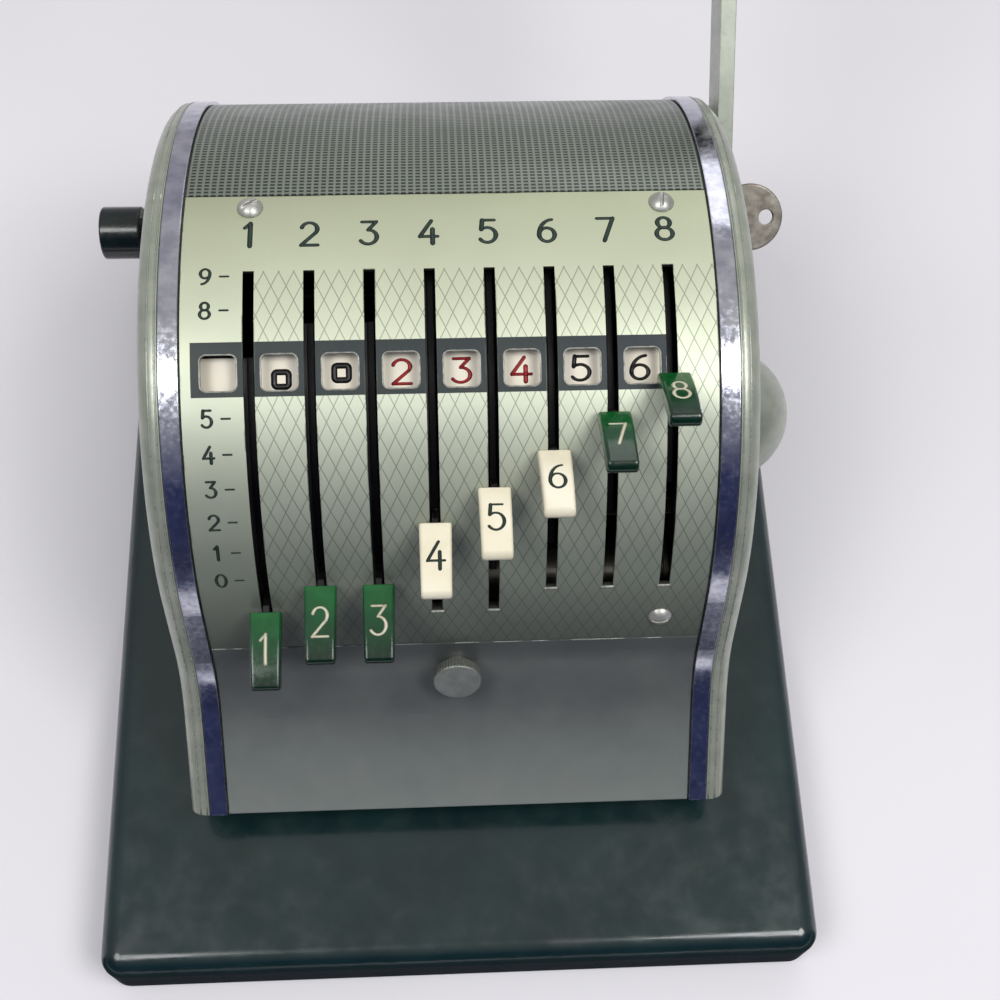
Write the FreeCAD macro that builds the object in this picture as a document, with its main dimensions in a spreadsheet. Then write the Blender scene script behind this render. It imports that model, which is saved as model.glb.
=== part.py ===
"""Check writer: a desk machine that prints an amount on a check.

The model is built about its lever shaft. X runs to the right along the shaft, Y to the back,
and Z up. Every piece is then placed so that the origin lies on the desk below the shaft.
A face angle is measured about the shaft, up from the horizontal that points to the front.
"""
import FreeCAD, Part
import Sketcher
import math
import os
import re

Vector = FreeCAD.Vector
Rotation = FreeCAD.Rotation
Placement = FreeCAD.Placement

SIZES = [
    ("base_margin", 28.3, "lower edge of the base out from a side panel"),
    ("base_front", 157.0, "lower front edge of the base, ahead of the shaft"),
    ("base_rear", 101.5, "lower rear edge of the base, behind the shaft"),
    ("base_height", 22.0, "height of the base pan"),
    ("base_flare", 1.0, "how far the skirt spreads from top to bottom"),
    ("base_corner", 6.5, "corner radius of the base in plan"),
    ("base_round", 6.0, "rounding of the base's top edge"),
    ("base_wall", 2.5, "wall of the base pan"),
    ("base_drop", 46.0, "top of the base below the shaft"),
    ("foot_height", 4.0, "rubber foot below the base"),
    ("foot_radius", 9.0, "rubber foot"),
    ("foot_inset", 22.0, "foot centre from the edges of the bottom plate"),
    ("bottom_plate", 1.5, "thickness of the bottom plate"),
    ("body_width", 150.0, "outside width over the side panels"),
    ("rim_radius", 75.0, "flat of the side panel about the shaft"),
    ("rear_radius", 88.0, "rim flat of the panel behind the joint of the covers"),
    ("crest_rise", 5.6, "crest of the panel rim above its flat"),
    ("rim_round", 5.0, "rounding of the panel rim"),
    ("panel_wall", 3.0, "wall of the cast side panels"),
    ("trim_width", 4.9, "width of a trim strip"),
    ("trim_thick", 1.3, "thickness of a trim strip"),
    ("rim_width", 5.5, "painted rim outside the trim strip"),
    ("skin_rise", 5.0, "face of the covers above the rim flat"),
    ("skin", 1.2, "sheet thickness of the covers"),
    ("seam_gap", 0.4, "gap between neighbouring covers"),
    ("tangent_angle", 20.0, "face angle where the crown turns into the straight run"),
    ("straight_run", 20.0, "straight run below the crown"),
    ("sweep_radius", 46.0, "concave sweep below the run"),
    ("lip_angle", 41.0, "slope of the apron at the lip"),
    ("lip_run", 29.0, "straight apron down to the lip"),
    ("lip_depth", 4.0, "turned-in edge of the lip"),
    ("shelf_width", 4.0, "shelf of a side panel below the covers"),
    ("shelf_thick", 1.6, "shelf of a side panel below the covers"),
    ("neck_front", 10.0, "front of the neck, behind the shaft"),
    ("throat", 5.0, "height of the throat at the print line"),
    ("throat_flat", 24.0, "level part of the guide ahead of the print line"),
    ("guide_thick", 1.0, "sheet of the check guide"),
    ("guide_ledge", 1.0, "clearance of the frame above the guide"),
    ("type_gap", 6.0, "half the opening in the guide below the type"),
    ("cover_joint", 101.0, "face angle of the joint between top cover and face plate"),
    ("rear_joint", 170.0, "face angle of the joint between top and rear cover"),
    ("seam_run", 15.0, "seam of face plate and apron along the straight run"),
    ("lever_room", 11.5, "outermost levers in from the frame plates"),
    ("lever_shift", 2.43, "row of levers right of the middle"),
    ("slot_width", 2.7, "width of a slot"),
    ("slot_top", 85.0, "face angle of the slots' upper ends"),
    ("slot_low", 19.2, "face angle of the long slots' lower ends"),
    ("slot_low_right", 24.8, "face angle of the short slots' lower ends"),
    ("window_size", 8.6, "side of a window"),
    ("window_corner", 1.5, "corner radius of a window"),
    ("window_angle", 67.0, "face angle of the windows"),
    ("screw_angle", 98.2, "face angle of the upper face screws"),
    ("screw_run", 6.0, "lower face screws along the straight run"),
    ("screw_inset_left", 15.9, "left face screws in from the edge of the face plate"),
    ("screw_inset_right", 11.2, "right face screws in from the edge of the face plate"),
    ("screw_head", 3.2, "radius of a screw head"),
    ("screw_dome", 1.9, "height of a screw head"),
    ("screw_shank", 1.5, "radius of a screw shank"),
    ("screw_slot", 0.8, "width of a screw slot"),
    ("rail_thick", 2.0, "thickness of the cover rails"),
    ("rail_width", 9.0, "width of the upper rail"),
    ("side_room", 10.0, "inner face of a frame plate in from the panel wall"),
    ("frame_thick", 2.0, "thickness of a frame plate"),
    ("frame_margin", 8.0, "frame plates inside the rim flat"),
    ("frame_foot_y", 30.0, "bent foot of a frame plate, behind the shaft"),
    ("frame_foot", 32.0, "length of a frame plate's foot"),
    ("shaft_radius", 3.5, "lever shaft"),
    ("running_fit", 0.05, "radial clearance of shafts in their bores"),
    ("seat_gap", 0.05, "clearance of pieces seated on each other"),
    ("lever_thick", 1.6, "lever plate"),
    ("hub_radius", 7.0, "lever hub"),
    ("hub_width", 6.0, "lever hub along the shaft"),
    ("key_root", 28.36, "face angle of a lever at nought"),
    ("band_drop", 3.4, "outer face of a number band below the face plate"),
    ("band_thick", 1.2, "thickness of a number band"),
    ("band_gap", 1.13, "number band clear of the next lever"),
    ("ring_depth", 5.0, "radial depth of the lever's rim"),
    ("type_radius", 38.2, "faces of the type figures"),
    ("type_depth", 4.6, "radial depth of the type segment"),
    ("type_width", 8.0, "width of the type segment"),
    ("type_relief", 0.6, "height of the figures above the segment"),
    ("detent_radius", 24.0, "notched edge of a lever"),
    ("notch_radius", 0.8, "detent notch"),
    ("comb_reach", 17.0, "free length of a detent finger"),
    ("key_width", 8.1, "width of a key cap at its root"),
    ("key_tip", 7.4, "width of a key cap at its lower end"),
    ("key_length", 18.6, "face of a key cap"),
    ("key_lift", 2.8, "key cap's root above the face plate"),
    ("key_slope", 33.0, "key face below the lever's own direction"),
    ("key_thick", 4.0, "key cap at its lower end"),
    ("key_root_thick", 3.2, "key cap at its root"),
    ("key_edge", 0.8, "edge rounding of a key cap"),
    ("rod_radius", 3.0, "tie rods between the frame plates"),
    ("rod_inset", 14.0, "tie rods inside the rim flat"),
    ("rod_angle", 172.0, "face angle of the upper rear tie rod"),
    ("rod_rise", 10.0, "lower rear tie rod above the base"),
    ("guide_rod_radius", 1.5, "ribbon guide rods"),
    ("guide_rod_span", 19.0, "ribbon guide rods ahead of and behind the print line"),
    ("rear_guide_y", 47.0, "rear ribbon guide rod behind the shaft"),
    ("rear_guide_drop", 20.0, "rear ribbon guide rod below the shaft"),
    ("ribbon_gap", 0.3, "ribbon path clear of rods and rolls"),
    ("spool_radius", 7.7, "ribbon roll on its spool"),
    ("spool_flange", 10.0, "spool flange"),
    ("spool_shaft", 2.5, "spool shaft"),
    ("flange_thick", 1.2, "spool flange"),
    ("ribbon_room", 4.0, "edge of the ribbon in from a frame plate"),
    ("ribbon_thick", 0.25, "ribbon"),
    ("rear_spool_y", 29.3, "rear spool behind the shaft"),
    ("rear_spool_z", 42.9, "rear spool above the shaft"),
    ("front_spool_y", -54.0, "front spool ahead of the shaft"),
    ("front_spool_z", -6.0, "front spool below the shaft"),
    ("knob_radius", 7.0, "ribbon knob"),
    ("knob_length", 10.8, "ribbon knob"),
    ("knob_gap", 7.3, "ribbon knob out from the side panel"),
    ("pivot_y", -4.6, "handle shaft ahead of the lever shaft"),
    ("pivot_z", -7.4, "handle shaft below the lever shaft"),
    ("handle_shaft", 4.0, "radius of the handle shaft"),
    ("handle_angle", 38.5, "handle at rest, up from the back"),
    ("handle_stroke", 75.0, "swing of the handle"),
    ("handle_reach", 204.35, "end of the grip from the handle shaft"),
    ("arm_width", 14.0, "handle arm"),
    ("arm_thick", 4.3, "handle arm"),
    ("arm_gap", 1.6, "handle arm out from the side panel"),
    ("hub_dome", 20.0, "domed hub of the handle"),
    ("grip_start", 128.0, "lower end of the grip from the handle shaft"),
    ("grip_radius", 10.0, "handle grip"),
    ("grip_neck", 7.6, "lower end of the handle grip"),
    ("lift", 6.5, "rise of the platen"),
    ("cam_base", 7.0, "lifting cam at rest"),
    ("cam_rise", 6.7, "rise of the lifting cam"),
    ("cam_thick", 4.0, "lifting cam"),
    ("nose_radius", 2.0, "nose of the lifter above the cam"),
    ("nose_gap", 0.8, "nose above the cam, measured over the shaft"),
    ("platen_width", 10.0, "platen from front to back"),
    ("platen_room", 2.0, "end of the platen in from a frame plate"),
    ("platen_proud", 0.1, "platen above the base at rest"),
    ("platen_slot", 0.4, "clearance around the platen"),
    ("lifter_thick", 3.0, "lifter plate"),
    ("post_radius", 2.5, "guide posts under the base top"),
    ("post_span", 45.0, "guide posts from the middle"),
    ("spring_radius", 3.0, "return spring"),
    ("spring_wire", 0.5, "wire radius of the return spring"),
    ("spring_peg", 1.2, "radius of the spring's pegs"),
    ("peg_back", 7.5, "spring pegs behind the lifter's strap"),
    ("peg_rise", 13.0, "lower spring peg above the base"),
    ("strap_depth", 10.0, "lifter strap from front to back"),
    ("strap_gap", 1.4, "lifter strap out from the frame plate"),
    ("lock_y", 51.4, "lock behind the shaft"),
    ("lock_z", 13.5, "lock above the shaft"),
    ("lock_radius", 7.5, "lock body"),
    ("lock_head", 9.0, "head of the lock"),
    ("lock_proud", 4.8, "head of the lock out from the panel"),
    ("plug_radius", 5.0, "lock plug"),
    ("bolt_length", 14.0, "bolt on the lock plug"),
    ("bow_radius", 10.0, "bow of the key"),
    ("bow_gap", 2.2, "bow of the key out from the lock"),
    ("bow_hole", 2.3, "hole in the bow"),
    ("blade_width", 6.6, "key blade"),
    ("blade_thick", 1.8, "key blade"),
    ("thumb_radius", 6.5, "head of the thumb screw"),
    ("thumb_head", 3.3, "height of the thumb screw's head"),
    ("thumb_collar", 3.5, "height of the thumb screw's collar"),
    ("thumb_flute", 0.3, "radius of the thumb screw's flutes"),
    ("thumb_shank", 2.5, "radius of the thumb screw's shank"),
    ("thumb_sweep", 5.5, "thumb screw down the concave sweep, in degrees"),
]
LEVER_SETTINGS = [-1, 0, 0, 2, 3, 4, 5, 6]   # figure each lever shows at rest, -1 for the blank
LONG_SLOTS = 5                               # the left levers can also be set to the blank
FIGURES = 11                                 # blank and nought to nine
STEP_ANGLE = 6.19                            # lever swing from one figure to the next
RULES = {
    "half_body": "body_width / 2",
    "half_base": "half_body + base_margin",
    "panel_inner": "half_body - panel_wall",
    "trim_outer": "half_body - rim_width",
    "trim_inner": "trim_outer - trim_width",
    "skin_half": "trim_inner - seam_gap",
    "shelf_inner": "trim_inner - shelf_width",
    "screw_left": "screw_inset_left - skin_half",
    "screw_right": "skin_half - screw_inset_right",
    "band_radius": "rim_radius + skin_rise - skin - band_drop",
    "frame_inner": "panel_inner - side_room",
    "frame_outer": "frame_inner + frame_thick",
    "slot_pitch": f"(frame_inner - lever_room) / {(len(LEVER_SETTINGS) - 1) / 2}",
    "slot_first": "lever_shift + lever_room - frame_inner",
    "window_shift": "slot_pitch / 2",
    "band_width": "slot_pitch - lever_thick - band_gap",
    "ribbon_width": "2 * (frame_inner - ribbon_room)",
    "platen_length": "2 * (frame_inner - platen_room)",
    "strap_start": "frame_outer + strap_gap",
    "strap_thick": "cam_thick - 0.4",
    "cam_start": "strap_start - 0.2",
    "shaft_bore": "shaft_radius + running_fit",
    "handle_bore": "handle_shaft + running_fit",
    "spool_bore": "spool_shaft + running_fit",
    "screw_bore": "screw_shank + seat_gap",
    "thumb_bore": "thumb_shank + running_fit",
    "shaft_height": "base_drop + base_height + foot_height",
    "half_hub": "hub_width / 2",
    "half_ribbon": "ribbon_width / 2 + 0.4",
    "arm_inner": "half_body + arm_gap",
    "arm_outer": "arm_inner + arm_thick",
    "arm_middle": "arm_inner + arm_thick / 2",
    "lock_face": "half_body + lock_proud",
    "lock_inner": "frame_outer + 3.2",
    "plug_end": "frame_outer + 0.6",
    "plug_bore": "plug_radius + running_fit",
    "knob_inner": "half_body + knob_gap",
    "knob_outer": "knob_inner + knob_length",
    "knob_seat": "knob_outer - 2",
    "lifter_drop": "base_drop + base_wall + lift + 0.6",
    "platen_low": "seat_gap - lifter_drop",
}

doc = FreeCAD.newDocument("check_writer")
sheet = doc.addObject("Spreadsheet::Sheet", "Sizes")
for row, (alias, value, meaning) in enumerate(SIZES, start=1):
    sheet.set(f"A{row}", meaning)
    sheet.set(f"B{row}", str(value))
    sheet.setAlias(f"B{row}", alias)
doc.recompute()


ALIASES = {alias for alias, value, meaning in SIZES}


def rule(text):
    """Sheet expression for a text of size names."""
    def expand(match):
        word = match.group(0)
        if word in RULES:
            return "(" + rule(RULES[word]) + ")"
        return "Sizes." + word if word in ALIASES else word
    return re.sub(r"[a-z]\w*", expand, text)


def size(text):
    return float(sheet.evalExpression(rule(text)))


half_body = size("half_body")
frame_outer = size("frame_outer")
skin_base = size("skin_rise - skin")
skin_radius = size("rim_radius + skin_rise")
throat_top = size("throat - base_drop")
shaft_height = size("shaft_height")
lever_places = [size("slot_first") + size("slot_pitch") * n for n in range(len(LEVER_SETTINGS))]

nodes = {}


def outward(angle):
    """Unit vector in the YZ plane at a face angle, away from the shaft."""
    return Vector(0, -math.cos(math.radians(angle)), math.sin(math.radians(angle)))


def onward(angle):
    """Unit vector along the outline, towards the lip, where the outline faces this angle."""
    return Vector(0, -math.sin(math.radians(angle)), -math.cos(math.radians(angle)))


def polar(radius, angle):
    return outward(angle) * radius


# The body's outline runs from the base up the back, round the wider rear arc, over the crown,
# down the straight run, round the concave sweep and along the lip. A station on it is a
# stretch and a value there.
BACK, REAR, CROWN, RUN, SWEEP, LIP = range(6)
rear_centre = polar(size("rim_radius - rear_radius"), size("cover_joint"))
sweep_turn = 90 - size("lip_angle") - size("tangent_angle")
lip_face = size("tangent_angle") + sweep_turn
STRETCH_ENDS = {
    BACK: (size("base_drop"), -rear_centre.z),
    REAR: (180.0, size("cover_joint")),
    CROWN: (size("cover_joint"), size("tangent_angle")),
    RUN: (0.0, size("straight_run")),
    SWEEP: (0.0, sweep_turn),
    LIP: (0.0, size("lip_run")),
}
OUTLINE_START = (BACK, size("base_drop"))
OUTLINE_END = (LIP, size("lip_run"))


def outline_facing(station):
    stretch, value = station
    return {BACK: 180.0, REAR: value, CROWN: value, RUN: size("tangent_angle"),
            SWEEP: size("tangent_angle") + value, LIP: lip_face}[stretch]


def outline_point(station, rise):
    """Point of the outline at a station, raised from the rim's flat."""
    stretch, value = station
    facing = outward(outline_facing(station))
    run_start = polar(size("rim_radius"), size("tangent_angle"))
    run_end = run_start + onward(size("tangent_angle")) * size("straight_run")
    sweep_centre = run_end + outward(size("tangent_angle")) * size("sweep_radius")
    if stretch == BACK:
        return Vector(0, rear_centre.y + size("rear_radius") + rise, -value)
    if stretch == REAR:
        return rear_centre + facing * (size("rear_radius") + rise)
    if stretch == CROWN:
        return facing * (size("rim_radius") + rise)
    if stretch == RUN:
        return run_start + onward(size("tangent_angle")) * value + facing * rise
    if stretch == SWEEP:
        return sweep_centre - facing * (size("sweep_radius") - rise)
    lip_start = sweep_centre - outward(lip_face) * size("sweep_radius")
    return lip_start + onward(lip_face) * value + facing * rise


def outline_edges(start, end, rise):
    """Lines and arcs of the raised outline from one station to a later one."""
    edges = []
    for stretch in range(start[0], end[0] + 1):
        first = start[1] if stretch == start[0] else STRETCH_ENDS[stretch][0]
        last = end[1] if stretch == end[0] else STRETCH_ENDS[stretch][1]
        if abs(first - last) < 1e-6:
            continue
        points = [outline_point((stretch, v), rise) for v in (first, (first + last) / 2, last)]
        if stretch in (REAR, CROWN, SWEEP):
            edges.append(Part.Arc(*points))
        else:
            edges.append(Part.LineSegment(points[0], points[2]))
    return edges


def polygon(points):
    """Closed ring of lines through (Y, Z) pairs or vectors."""
    corners = [p if isinstance(p, Vector) else Vector(0, *p) for p in points]
    return [Part.LineSegment(a, b) for a, b in zip(corners, corners[1:] + corners[:1])]


def skin_loop(start, end, low, high):
    """Section of a sheet that follows the outline between two rises."""
    outer = outline_edges(start, end, high)
    inner = outline_edges(start, end, low)
    ends = [Part.LineSegment(outline_point(s, low), outline_point(s, high)) for s in (start, end)]
    return outer + inner + ends


def divided_loop(start, end, low, high, breaks):
    """Sheet section whose crown arc is divided at face angles, which keeps its meshes true."""
    stations = [start] + [(CROWN, angle) for angle in breaks] + [end]
    edges = [Part.LineSegment(outline_point(s, low), outline_point(s, high)) for s in (start, end)]
    for first, last in zip(stations, stations[1:]):
        edges += outline_edges(first, last, high)
        edges += outline_edges(first, last, low)
    return edges


def sector_loop(low, high, first, last):
    """Section of a ring between two radii and two face angles."""
    middle = (first + last) / 2
    arcs = [Part.Arc(polar(r, first), polar(r, middle), polar(r, last)) for r in (low, high)]
    ends = [Part.LineSegment(polar(low, a), polar(high, a)) for a in (first, last)]
    return arcs + ends


class Round:
    """Circle of a section, whose radius follows the sheet."""

    def __init__(self, first, second, radius):
        self.first, self.second, self.radius = first, second, radius


def circle_loop(y, z, radius):
    return [Round(y, z, radius)]


def closed_face(loop):
    edges = [edge.toShape() for edge in loop]
    return Part.Face(Part.Wire(Part.__sortEdges__(edges)))


def merged(added, removed):
    """One outline, with its openings, of overlapping sections less the removed ones."""
    face = closed_face(added[0]).multiFuse([closed_face(loop) for loop in added[1:]])
    face = face.removeSplitter().cut([closed_face(loop) for loop in removed])
    loops = []
    for wire in face.Wires:
        edges = []
        for edge in wire.Edges:
            first, last = edge.ParameterRange
            ends = [edge.valueAt(value) for value in (first, (first + last) / 2, last)]
            straight = isinstance(edge.Curve, Part.Line)
            edges.append(Part.LineSegment(ends[0], ends[2]) if straight else Part.Arc(*ends))
        loops.append(edges)
    return loops


def flat(edge):
    """Edge of the YZ plane in a sketch's own coordinates."""
    turned = edge.copy()
    turned.rotate(Placement(Vector(), Rotation(Vector(1, 1, 1), 120).inverted()))
    return turned


def origin_item(body, role):
    return next(item for item in body.Origin.OriginFeatures if item.Role == role)


def new_body(label, turn=0.0, about=("0", "0")):
    """Body whose own X axis lies on an axis along the machine, turned about it."""
    body = doc.addObject("PartDesign::Body", label)
    body.Label = label
    body.Placement = Placement(Vector(), Rotation(Vector(1, 0, 0), turn))
    body.setExpression("Placement.Base.y", rule(about[0]))
    body.setExpression("Placement.Base.z", rule(f"shaft_height + ({about[1]})"))
    nodes[label] = body
    return body


def draw(sketch, loops, convert):
    for loop in loops:
        for edge in loop:
            if not isinstance(edge, Round):
                sketch.addGeometry(convert(edge), False)
                continue
            centre = Vector(edge.first, edge.second, 0)
            index = sketch.addGeometry(Part.Circle(centre, Vector(0, 0, 1), size(edge.radius)), False)
            number = sketch.addConstraint(Sketcher.Constraint("Radius", index, size(edge.radius)))
            sketch.setExpression(f"Constraints[{number}]", rule(edge.radius))


def side_sketch(body, loops, start):
    """Sketch across the shaft, at a distance along it."""
    sketch = body.newObject("Sketcher::SketchObject", body.Label + "_section")
    sketch.AttachmentSupport = [(origin_item(body, "YZ_Plane"), "")]
    sketch.MapMode = "FlatFace"
    sketch.setExpression("AttachmentOffset.Base.z", rule(start))
    draw(sketch, loops, flat)
    return sketch


def grow(body, loops, start, length):
    """Pad of a side section from start along X."""
    sketch = side_sketch(body, loops, start)
    pad = body.newObject("PartDesign::Pad", body.Label + "_pad")
    pad.Profile = sketch
    pad.setExpression("Length", rule(length))
    return pad


def cut(body, loops, start, length):
    """Pocket of a side section from start along X."""
    sketch = side_sketch(body, loops, start)
    pocket = body.newObject("PartDesign::Pocket", body.Label + "_pocket")
    pocket.Profile = sketch
    pocket.Reversed = True
    pocket.setExpression("Length", rule(length))
    return pocket


def repeat(body, feature, kind, settings, count):
    pattern = body.newObject("PartDesign::" + kind, body.Label + "_pattern")
    pattern.Originals = [feature]
    for name, value in settings.items():
        setattr(pattern, name, value)
    pattern.Occurrences = count
    body.Tip = pattern
    return pattern


def row_of(body, feature, spacing, count):
    """Copies of a feature along the shaft."""
    settings = {"Direction": (origin_item(body, "X_Axis"), [""])}
    pattern = repeat(body, feature, "LinearPattern", settings, count)
    pattern.setExpression("Length", rule(f"{spacing} * {count - 1}"))


def ring_of(body, feature, axis, angle, count):
    """Copies of a feature about one of the body's axes."""
    settings = {"Axis": (origin_item(body, axis), [""]), "Angle": angle * (count - 1)}
    repeat(body, feature, "PolarPattern", settings, count)


def round_edges(body, radius, wanted):
    """Fillet of the tip's edges for which wanted(edge) holds."""
    base = body.Tip
    base.recompute(True)
    names = [f"Edge{n}" for n, edge in enumerate(base.Shape.Edges, start=1) if wanted(edge)]
    fillet = body.newObject("PartDesign::Fillet", body.Label + "_round")
    fillet.Base = (base, names)
    fillet.setExpression("Radius", rule(radius))
    return fillet


def plan_sketch(body, loops, height, plane="XY_Plane"):
    sketch = body.newObject("Sketcher::SketchObject", body.Label + "_plan")
    sketch.AttachmentSupport = [(origin_item(body, plane), "")]
    sketch.MapMode = "FlatFace"
    sketch.setExpression("AttachmentOffset.Base.z", rule(height))
    draw(sketch, loops, lambda edge: edge)
    return sketch


def plan_pad(body, loops, height, length):
    """Pad of a plan section upward from a height."""
    sketch = plan_sketch(body, loops, height)
    pad = body.newObject("PartDesign::Pad", body.Label + "_pad")
    pad.Profile = sketch
    pad.setExpression("Length", rule(length))
    return pad


def plan_cut(body, loops, height, length):
    """Pocket of a plan section upward from a height."""
    sketch = plan_sketch(body, loops, height)
    pocket = body.newObject("PartDesign::Pocket", body.Label + "_pocket")
    pocket.Profile = sketch
    pocket.Reversed = True
    pocket.setExpression("Length", rule(length))
    return pocket


def spin(body, edges, plane, axis):
    """Turned shape from half a section; the sketch's own axis is the lathe's."""
    sketch = plan_sketch(body, [edges], "0", plane)
    turned = body.newObject("PartDesign::Revolution", body.Label + "_turning")
    turned.Profile = sketch
    turned.ReferenceAxis = (sketch, [axis])
    turned.Angle = 360
    return turned


def plan_circle(x, y, radius):
    return [Round(x, y, radius)]


def chain(points):
    """Closed ring of lines through points of a plan."""
    corners = [Vector(*point, 0) for point in points]
    return [Part.LineSegment(a, b) for a, b in zip(corners, corners[1:] + corners[:1])]


def plan_box(left, right, front, rear, corner=0.0):
    """Rectangle in plan, with rounded corners where a corner radius is given."""
    if corner <= 0:
        return chain([(left, front), (right, front), (right, rear), (left, rear)])
    centres = [(right - corner, front + corner, -90), (right - corner, rear - corner, 0),
               (left + corner, rear - corner, 90), (left + corner, front + corner, 180)]
    arcs = []
    for x, y, start in centres:
        turn = [math.radians(start + step) for step in (0, 45, 90)]
        arcs.append([Vector(x + corner * math.cos(a), y + corner * math.sin(a), 0) for a in turn])
    lines = [Part.LineSegment(a[2], b[0]) for a, b in zip(arcs, arcs[1:] + arcs[:1])]
    return [Part.Arc(*points) for points in arcs] + lines


def box_loop(front, rear, low, high):
    return polygon([(front, low), (rear, low), (rear, high), (front, high)])


def span(side, low, high):
    """Start and length of a pad between two distances from the middle, on one side."""
    length = f"({high}) - ({low})"
    return (low, length) if side > 0 else (f"-({high})", length)


def shaped(label, shape):
    """Piece whose shape is worked out directly."""
    piece = doc.addObject("Part::Feature", label)
    piece.Label = label
    piece.Shape = shape
    piece.setExpression("Placement.Base.z", rule("shaft_height"))
    nodes[label] = piece
    return piece


# ---------------------------------------------------------------- base
base_top = size("-base_drop")
half_base = size("half_base")
strap_start = size("strap_start")
strap_front = size("neck_front") + 1.0
strap_rear = strap_front + size("strap_depth")
post_place = strap_front + 4.0
skirt_lean = math.degrees(math.atan(size("base_flare") / size("base_height")))
inner_corner = size("base_corner - base_wall + base_flare / 2")


def base_plan(inset, corner=0.0):
    """Outline of the base in plan, drawn in from its lower edge."""
    return plan_box(-half_base + inset, half_base - inset,
                    -size("base_front") + inset, size("base_rear") - inset, corner)


def make_base():
    """Drawn steel pan with a drafted skirt, slots for the platen and the lifter's strap."""
    body = new_body("base_pan")
    pan = plan_pad(body, [base_plan(0.0)], "-base_drop - base_height", "base_height")
    pan.TaperAngle = -skirt_lean
    round_edges(body, "base_corner", lambda e: e.BoundBox.ZLength > size("base_height") / 2)
    round_edges(body, "base_round", lambda e: e.BoundBox.ZMin > base_top - 0.01)
    hollow = plan_cut(body, [base_plan(size("base_wall"), inner_corner)],
                      "-base_drop - base_height", "base_height - base_wall")
    hollow.TaperAngle = -skirt_lean
    gap = size("platen_slot")
    half, deep = size("platen_length") / 2 + gap, size("platen_width") / 2 + gap
    strap_end = strap_start + size("cam_thick") + gap
    slots = [plan_box(-half, half, -deep, deep),
             plan_box(strap_start - gap, strap_end, strap_front - gap, strap_rear + gap)]
    plan_cut(body, slots, "-base_drop - base_wall - 1", "base_wall + 2")
    posts = [plan_circle(x, post_place, "post_radius")
             for x in (-size("post_span"), size("post_span"))]
    plan_pad(body, posts, "bottom_plate + seat_gap - base_drop - base_height",
             "base_height - bottom_plate - base_wall")


def make_bottom_plate():
    """Flat steel plate inside the skirt."""
    body = new_body("base_bottom_plate")
    inset = size("base_wall + seat_gap + base_flare * bottom_plate / base_height")
    plan_pad(body, [base_plan(inset, inner_corner)], "-base_drop - base_height", "bottom_plate")


def make_feet():
    """Four moulded rubber feet with a small lower chamfer."""
    body = new_body("rubber_feet")
    inset = size("foot_inset")
    circles = [plan_circle(x, y, "foot_radius") for x in (-half_base + inset, half_base - inset)
               for y in (inset - size("base_front"), size("base_rear") - inset)]
    pad = plan_pad(body, circles, "-shaft_height", "foot_height")
    pad.recompute(True)
    low = -shaft_height + 0.01
    rims = [f"Edge{n}" for n, edge in enumerate(pad.Shape.Edges, start=1)
            if edge.BoundBox.ZMax < low]
    chamfer = body.newObject("PartDesign::Chamfer", "foot_edge")
    chamfer.Base = (pad, rims)
    chamfer.setExpression("Size", rule("foot_height / 4"))


make_base()
make_bottom_plate()
make_feet()


# ---------------------------------------------------------------- body shell
lip_under = outline_point(OUTLINE_END, -size("lip_depth"))
guide_bend = Vector(0, -size("throat_flat"), throat_top)
SIDE_SCREWS = [outline_point((BACK, size("base_drop") - 16), -17),
               outline_point((SWEEP, 14), -14),
               outline_point((CROWN, 95.8), -15)]
knob_place = (size("rear_spool_y"), size("rear_spool_z"))
front_place = (size("front_spool_y"), size("front_spool_z"))
pivot = (size("pivot_y"), size("pivot_z"))
lock_place = (size("lock_y"), size("lock_z"))
WHOLE_OUTLINE = (OUTLINE_START, OUTLINE_END)


def guide_height(y):
    """Under side of the check guide, level at the print line and rising to the lip."""
    if y > guide_bend.y:
        return throat_top
    share = (y - guide_bend.y) / (lip_under.y - guide_bend.y)
    return throat_top + share * (lip_under.z - throat_top)


def side_screws_of(side):
    """The third screw is on the left only, clear of the handle."""
    return SIDE_SCREWS if side < 0 else SIDE_SCREWS[:2]


def panel_loop(rise):
    """Closed side view of the body, with the neck at the back and the throat below."""
    neck = size("neck_front")
    corners = [outline_point(OUTLINE_END, rise), lip_under, guide_bend,
               Vector(0, neck, throat_top), Vector(0, neck, base_top),
               outline_point(OUTLINE_START, rise)]
    lower = [Part.LineSegment(a, b) for a, b in zip(corners, corners[1:])]
    return outline_edges(*WHOLE_OUTLINE, rise) + lower


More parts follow.
